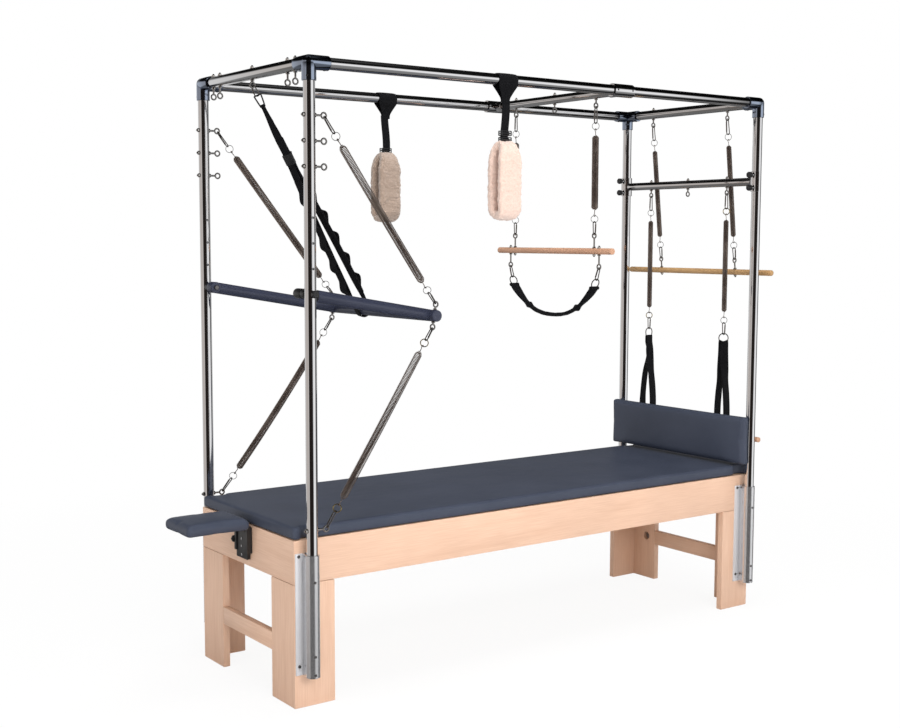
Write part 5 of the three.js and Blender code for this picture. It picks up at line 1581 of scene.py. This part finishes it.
def addFloor():
    shape = turnedShape([(0, 0), (1.5, 0), (stageSize["floor"], 0)], 96)
    mesh = bpy.data.meshes.new("floor")
    mesh.from_pydata(shape["points"].tolist(), [], shape["faces"])
    floor = bpy.data.objects.new("floor", mesh)
    floor.location.z = -.0005
    floor.visible_glossy = False
    bpy.context.scene.collection.objects.link(floor)
    kit = newKit("whiteFloor")
    kit["nodes"].clear()
    size, shadow = stageSize["floor"], stageSize["shadow"]
    plain = addNode(kit, "BsdfDiffuse", {"Color": (.98, .98, .98, 1)})
    glow = addNode(kit, "Emission", {"Color": (1, 1, 1, 1), "Strength": 1})
    place = addNode(kit, "TexCoord").outputs["Object"]
    length = addNode(kit, "VectorMath", {0: place}, operation="LENGTH").outputs["Value"]
    near, far = stageSize["fadeFrom"] * size, stageSize["fadeTo"] * size
    fading = {"Value": length, "From Min": near, "From Max": far, "To Min": 1 - shadow, "To Max": 1}
    fade = addNode(kit, "MapRange", fading)
    seen = addNode(kit, "LightPath").outputs["Is Camera Ray"]
    share = addNode(kit, "Math", {0: fade, 1: seen}, operation="MULTIPLY")
    mix = addNode(kit, "MixShader", {0: share, 1: plain, 2: glow})
    addNode(kit, "OutputMaterial", {"Surface": mix})
    mesh.materials.append(kit["material"])


# brightness round the horizon for mirrored rays, from -X over -Y, +X and +Y back to -X
azimuthCards = [
    (.0, (.55, .5, .47)), (.03, (.74, .7, .67)), (.068, (.02, .015, .013)), (.25, (.02, .016, .015)),
    (.285, grey(1)), (.395, grey(1)), (.435, grey(.06)), (.495, grey(.05)), (.53, grey(.75)),
    (.60, grey(.22)), (.655, grey(.32)), (.70, grey(.8)), (.78, grey(.75)), (.86, (.6, .56, .53)),
    (1.0, (.55, .5, .47))]
# and by its height, from straight down to straight up
heightCards = [
    (.0, grey(.2)), (.25, grey(.28)), (.33, grey(.3)), (.385, grey(1.0)), (.6, grey(1.0)), (.68, grey(.004)),
    (.9, grey(.01)), (1.0, grey(.2))]


def addWorld():
    world = bpy.data.worlds.new("studio")
    world.use_nodes = True
    kit = {"nodes": world.node_tree.nodes, "links": world.node_tree.links}
    kit["nodes"].clear()
    rays = addNode(kit, "LightPath").outputs
    direct = {0: rays["Is Camera Ray"], 1: rays["Is Transmission Ray"]}
    seen = addNode(kit, "Math", direct, operation="ADD", use_clamp=True)
    way = addNode(kit, "SeparateXYZ", {0: addNode(kit, "TexCoord").outputs["Generated"]}).outputs
    rise = addNode(kit, "MapRange", {"Value": way["Z"], "From Min": -1, "From Max": 1})
    around = addNode(kit, "Math", {0: way["Y"], 1: way["X"]}, operation="ARCTAN2")
    sweep = addNode(kit, "MapRange", {"Value": around, "From Min": -halfTurn, "From Max": halfTurn})
    height, azimuth = rampOf(kit, rise, heightCards), rampOf(kit, sweep, azimuthCards, "EASE")
    cards = mixedColour(kit, 1.0, height, azimuth, "MULTIPLY")
    mirror = addNode(kit, "Background", {"Color": cards, "Strength": 1})
    white = addNode(kit, "Background", {"Color": (1, 1, 1, 1), "Strength": 1})
    ambient = addNode(kit, "Background", {"Color": (1, .99, .98, 1), "Strength": .5})
    lit = addNode(kit, "MixShader", {0: rays["Is Glossy Ray"], 1: ambient, 2: mirror})
    whole = addNode(kit, "MixShader", {0: seen, 1: lit, 2: white})
    addNode(kit, "OutputWorld", {"Surface": whole})
    bpy.context.scene.world = world


def addLamps():
    for lamp in lamps:
        light = bpy.data.lights.new(lamp["name"], "AREA")
        light.shape = "RECTANGLE"
        light.size, light.size_y = lamp["size"]
        light.energy = lamp["power"]
        holder = bpy.data.objects.new(lamp["name"], light)
        holder.location = lamp["place"]
        way = Vector(lamp["aim"]) - Vector(lamp["place"])
        holder.rotation_euler = way.to_track_quat("-Z", "Y").to_euler()
        holder.visible_glossy = False
        bpy.context.scene.collection.objects.link(holder)


addFloor()
addWorld()
addLamps()
bpy.context.scene.view_settings.view_transform = "Standard"
print("studio made")
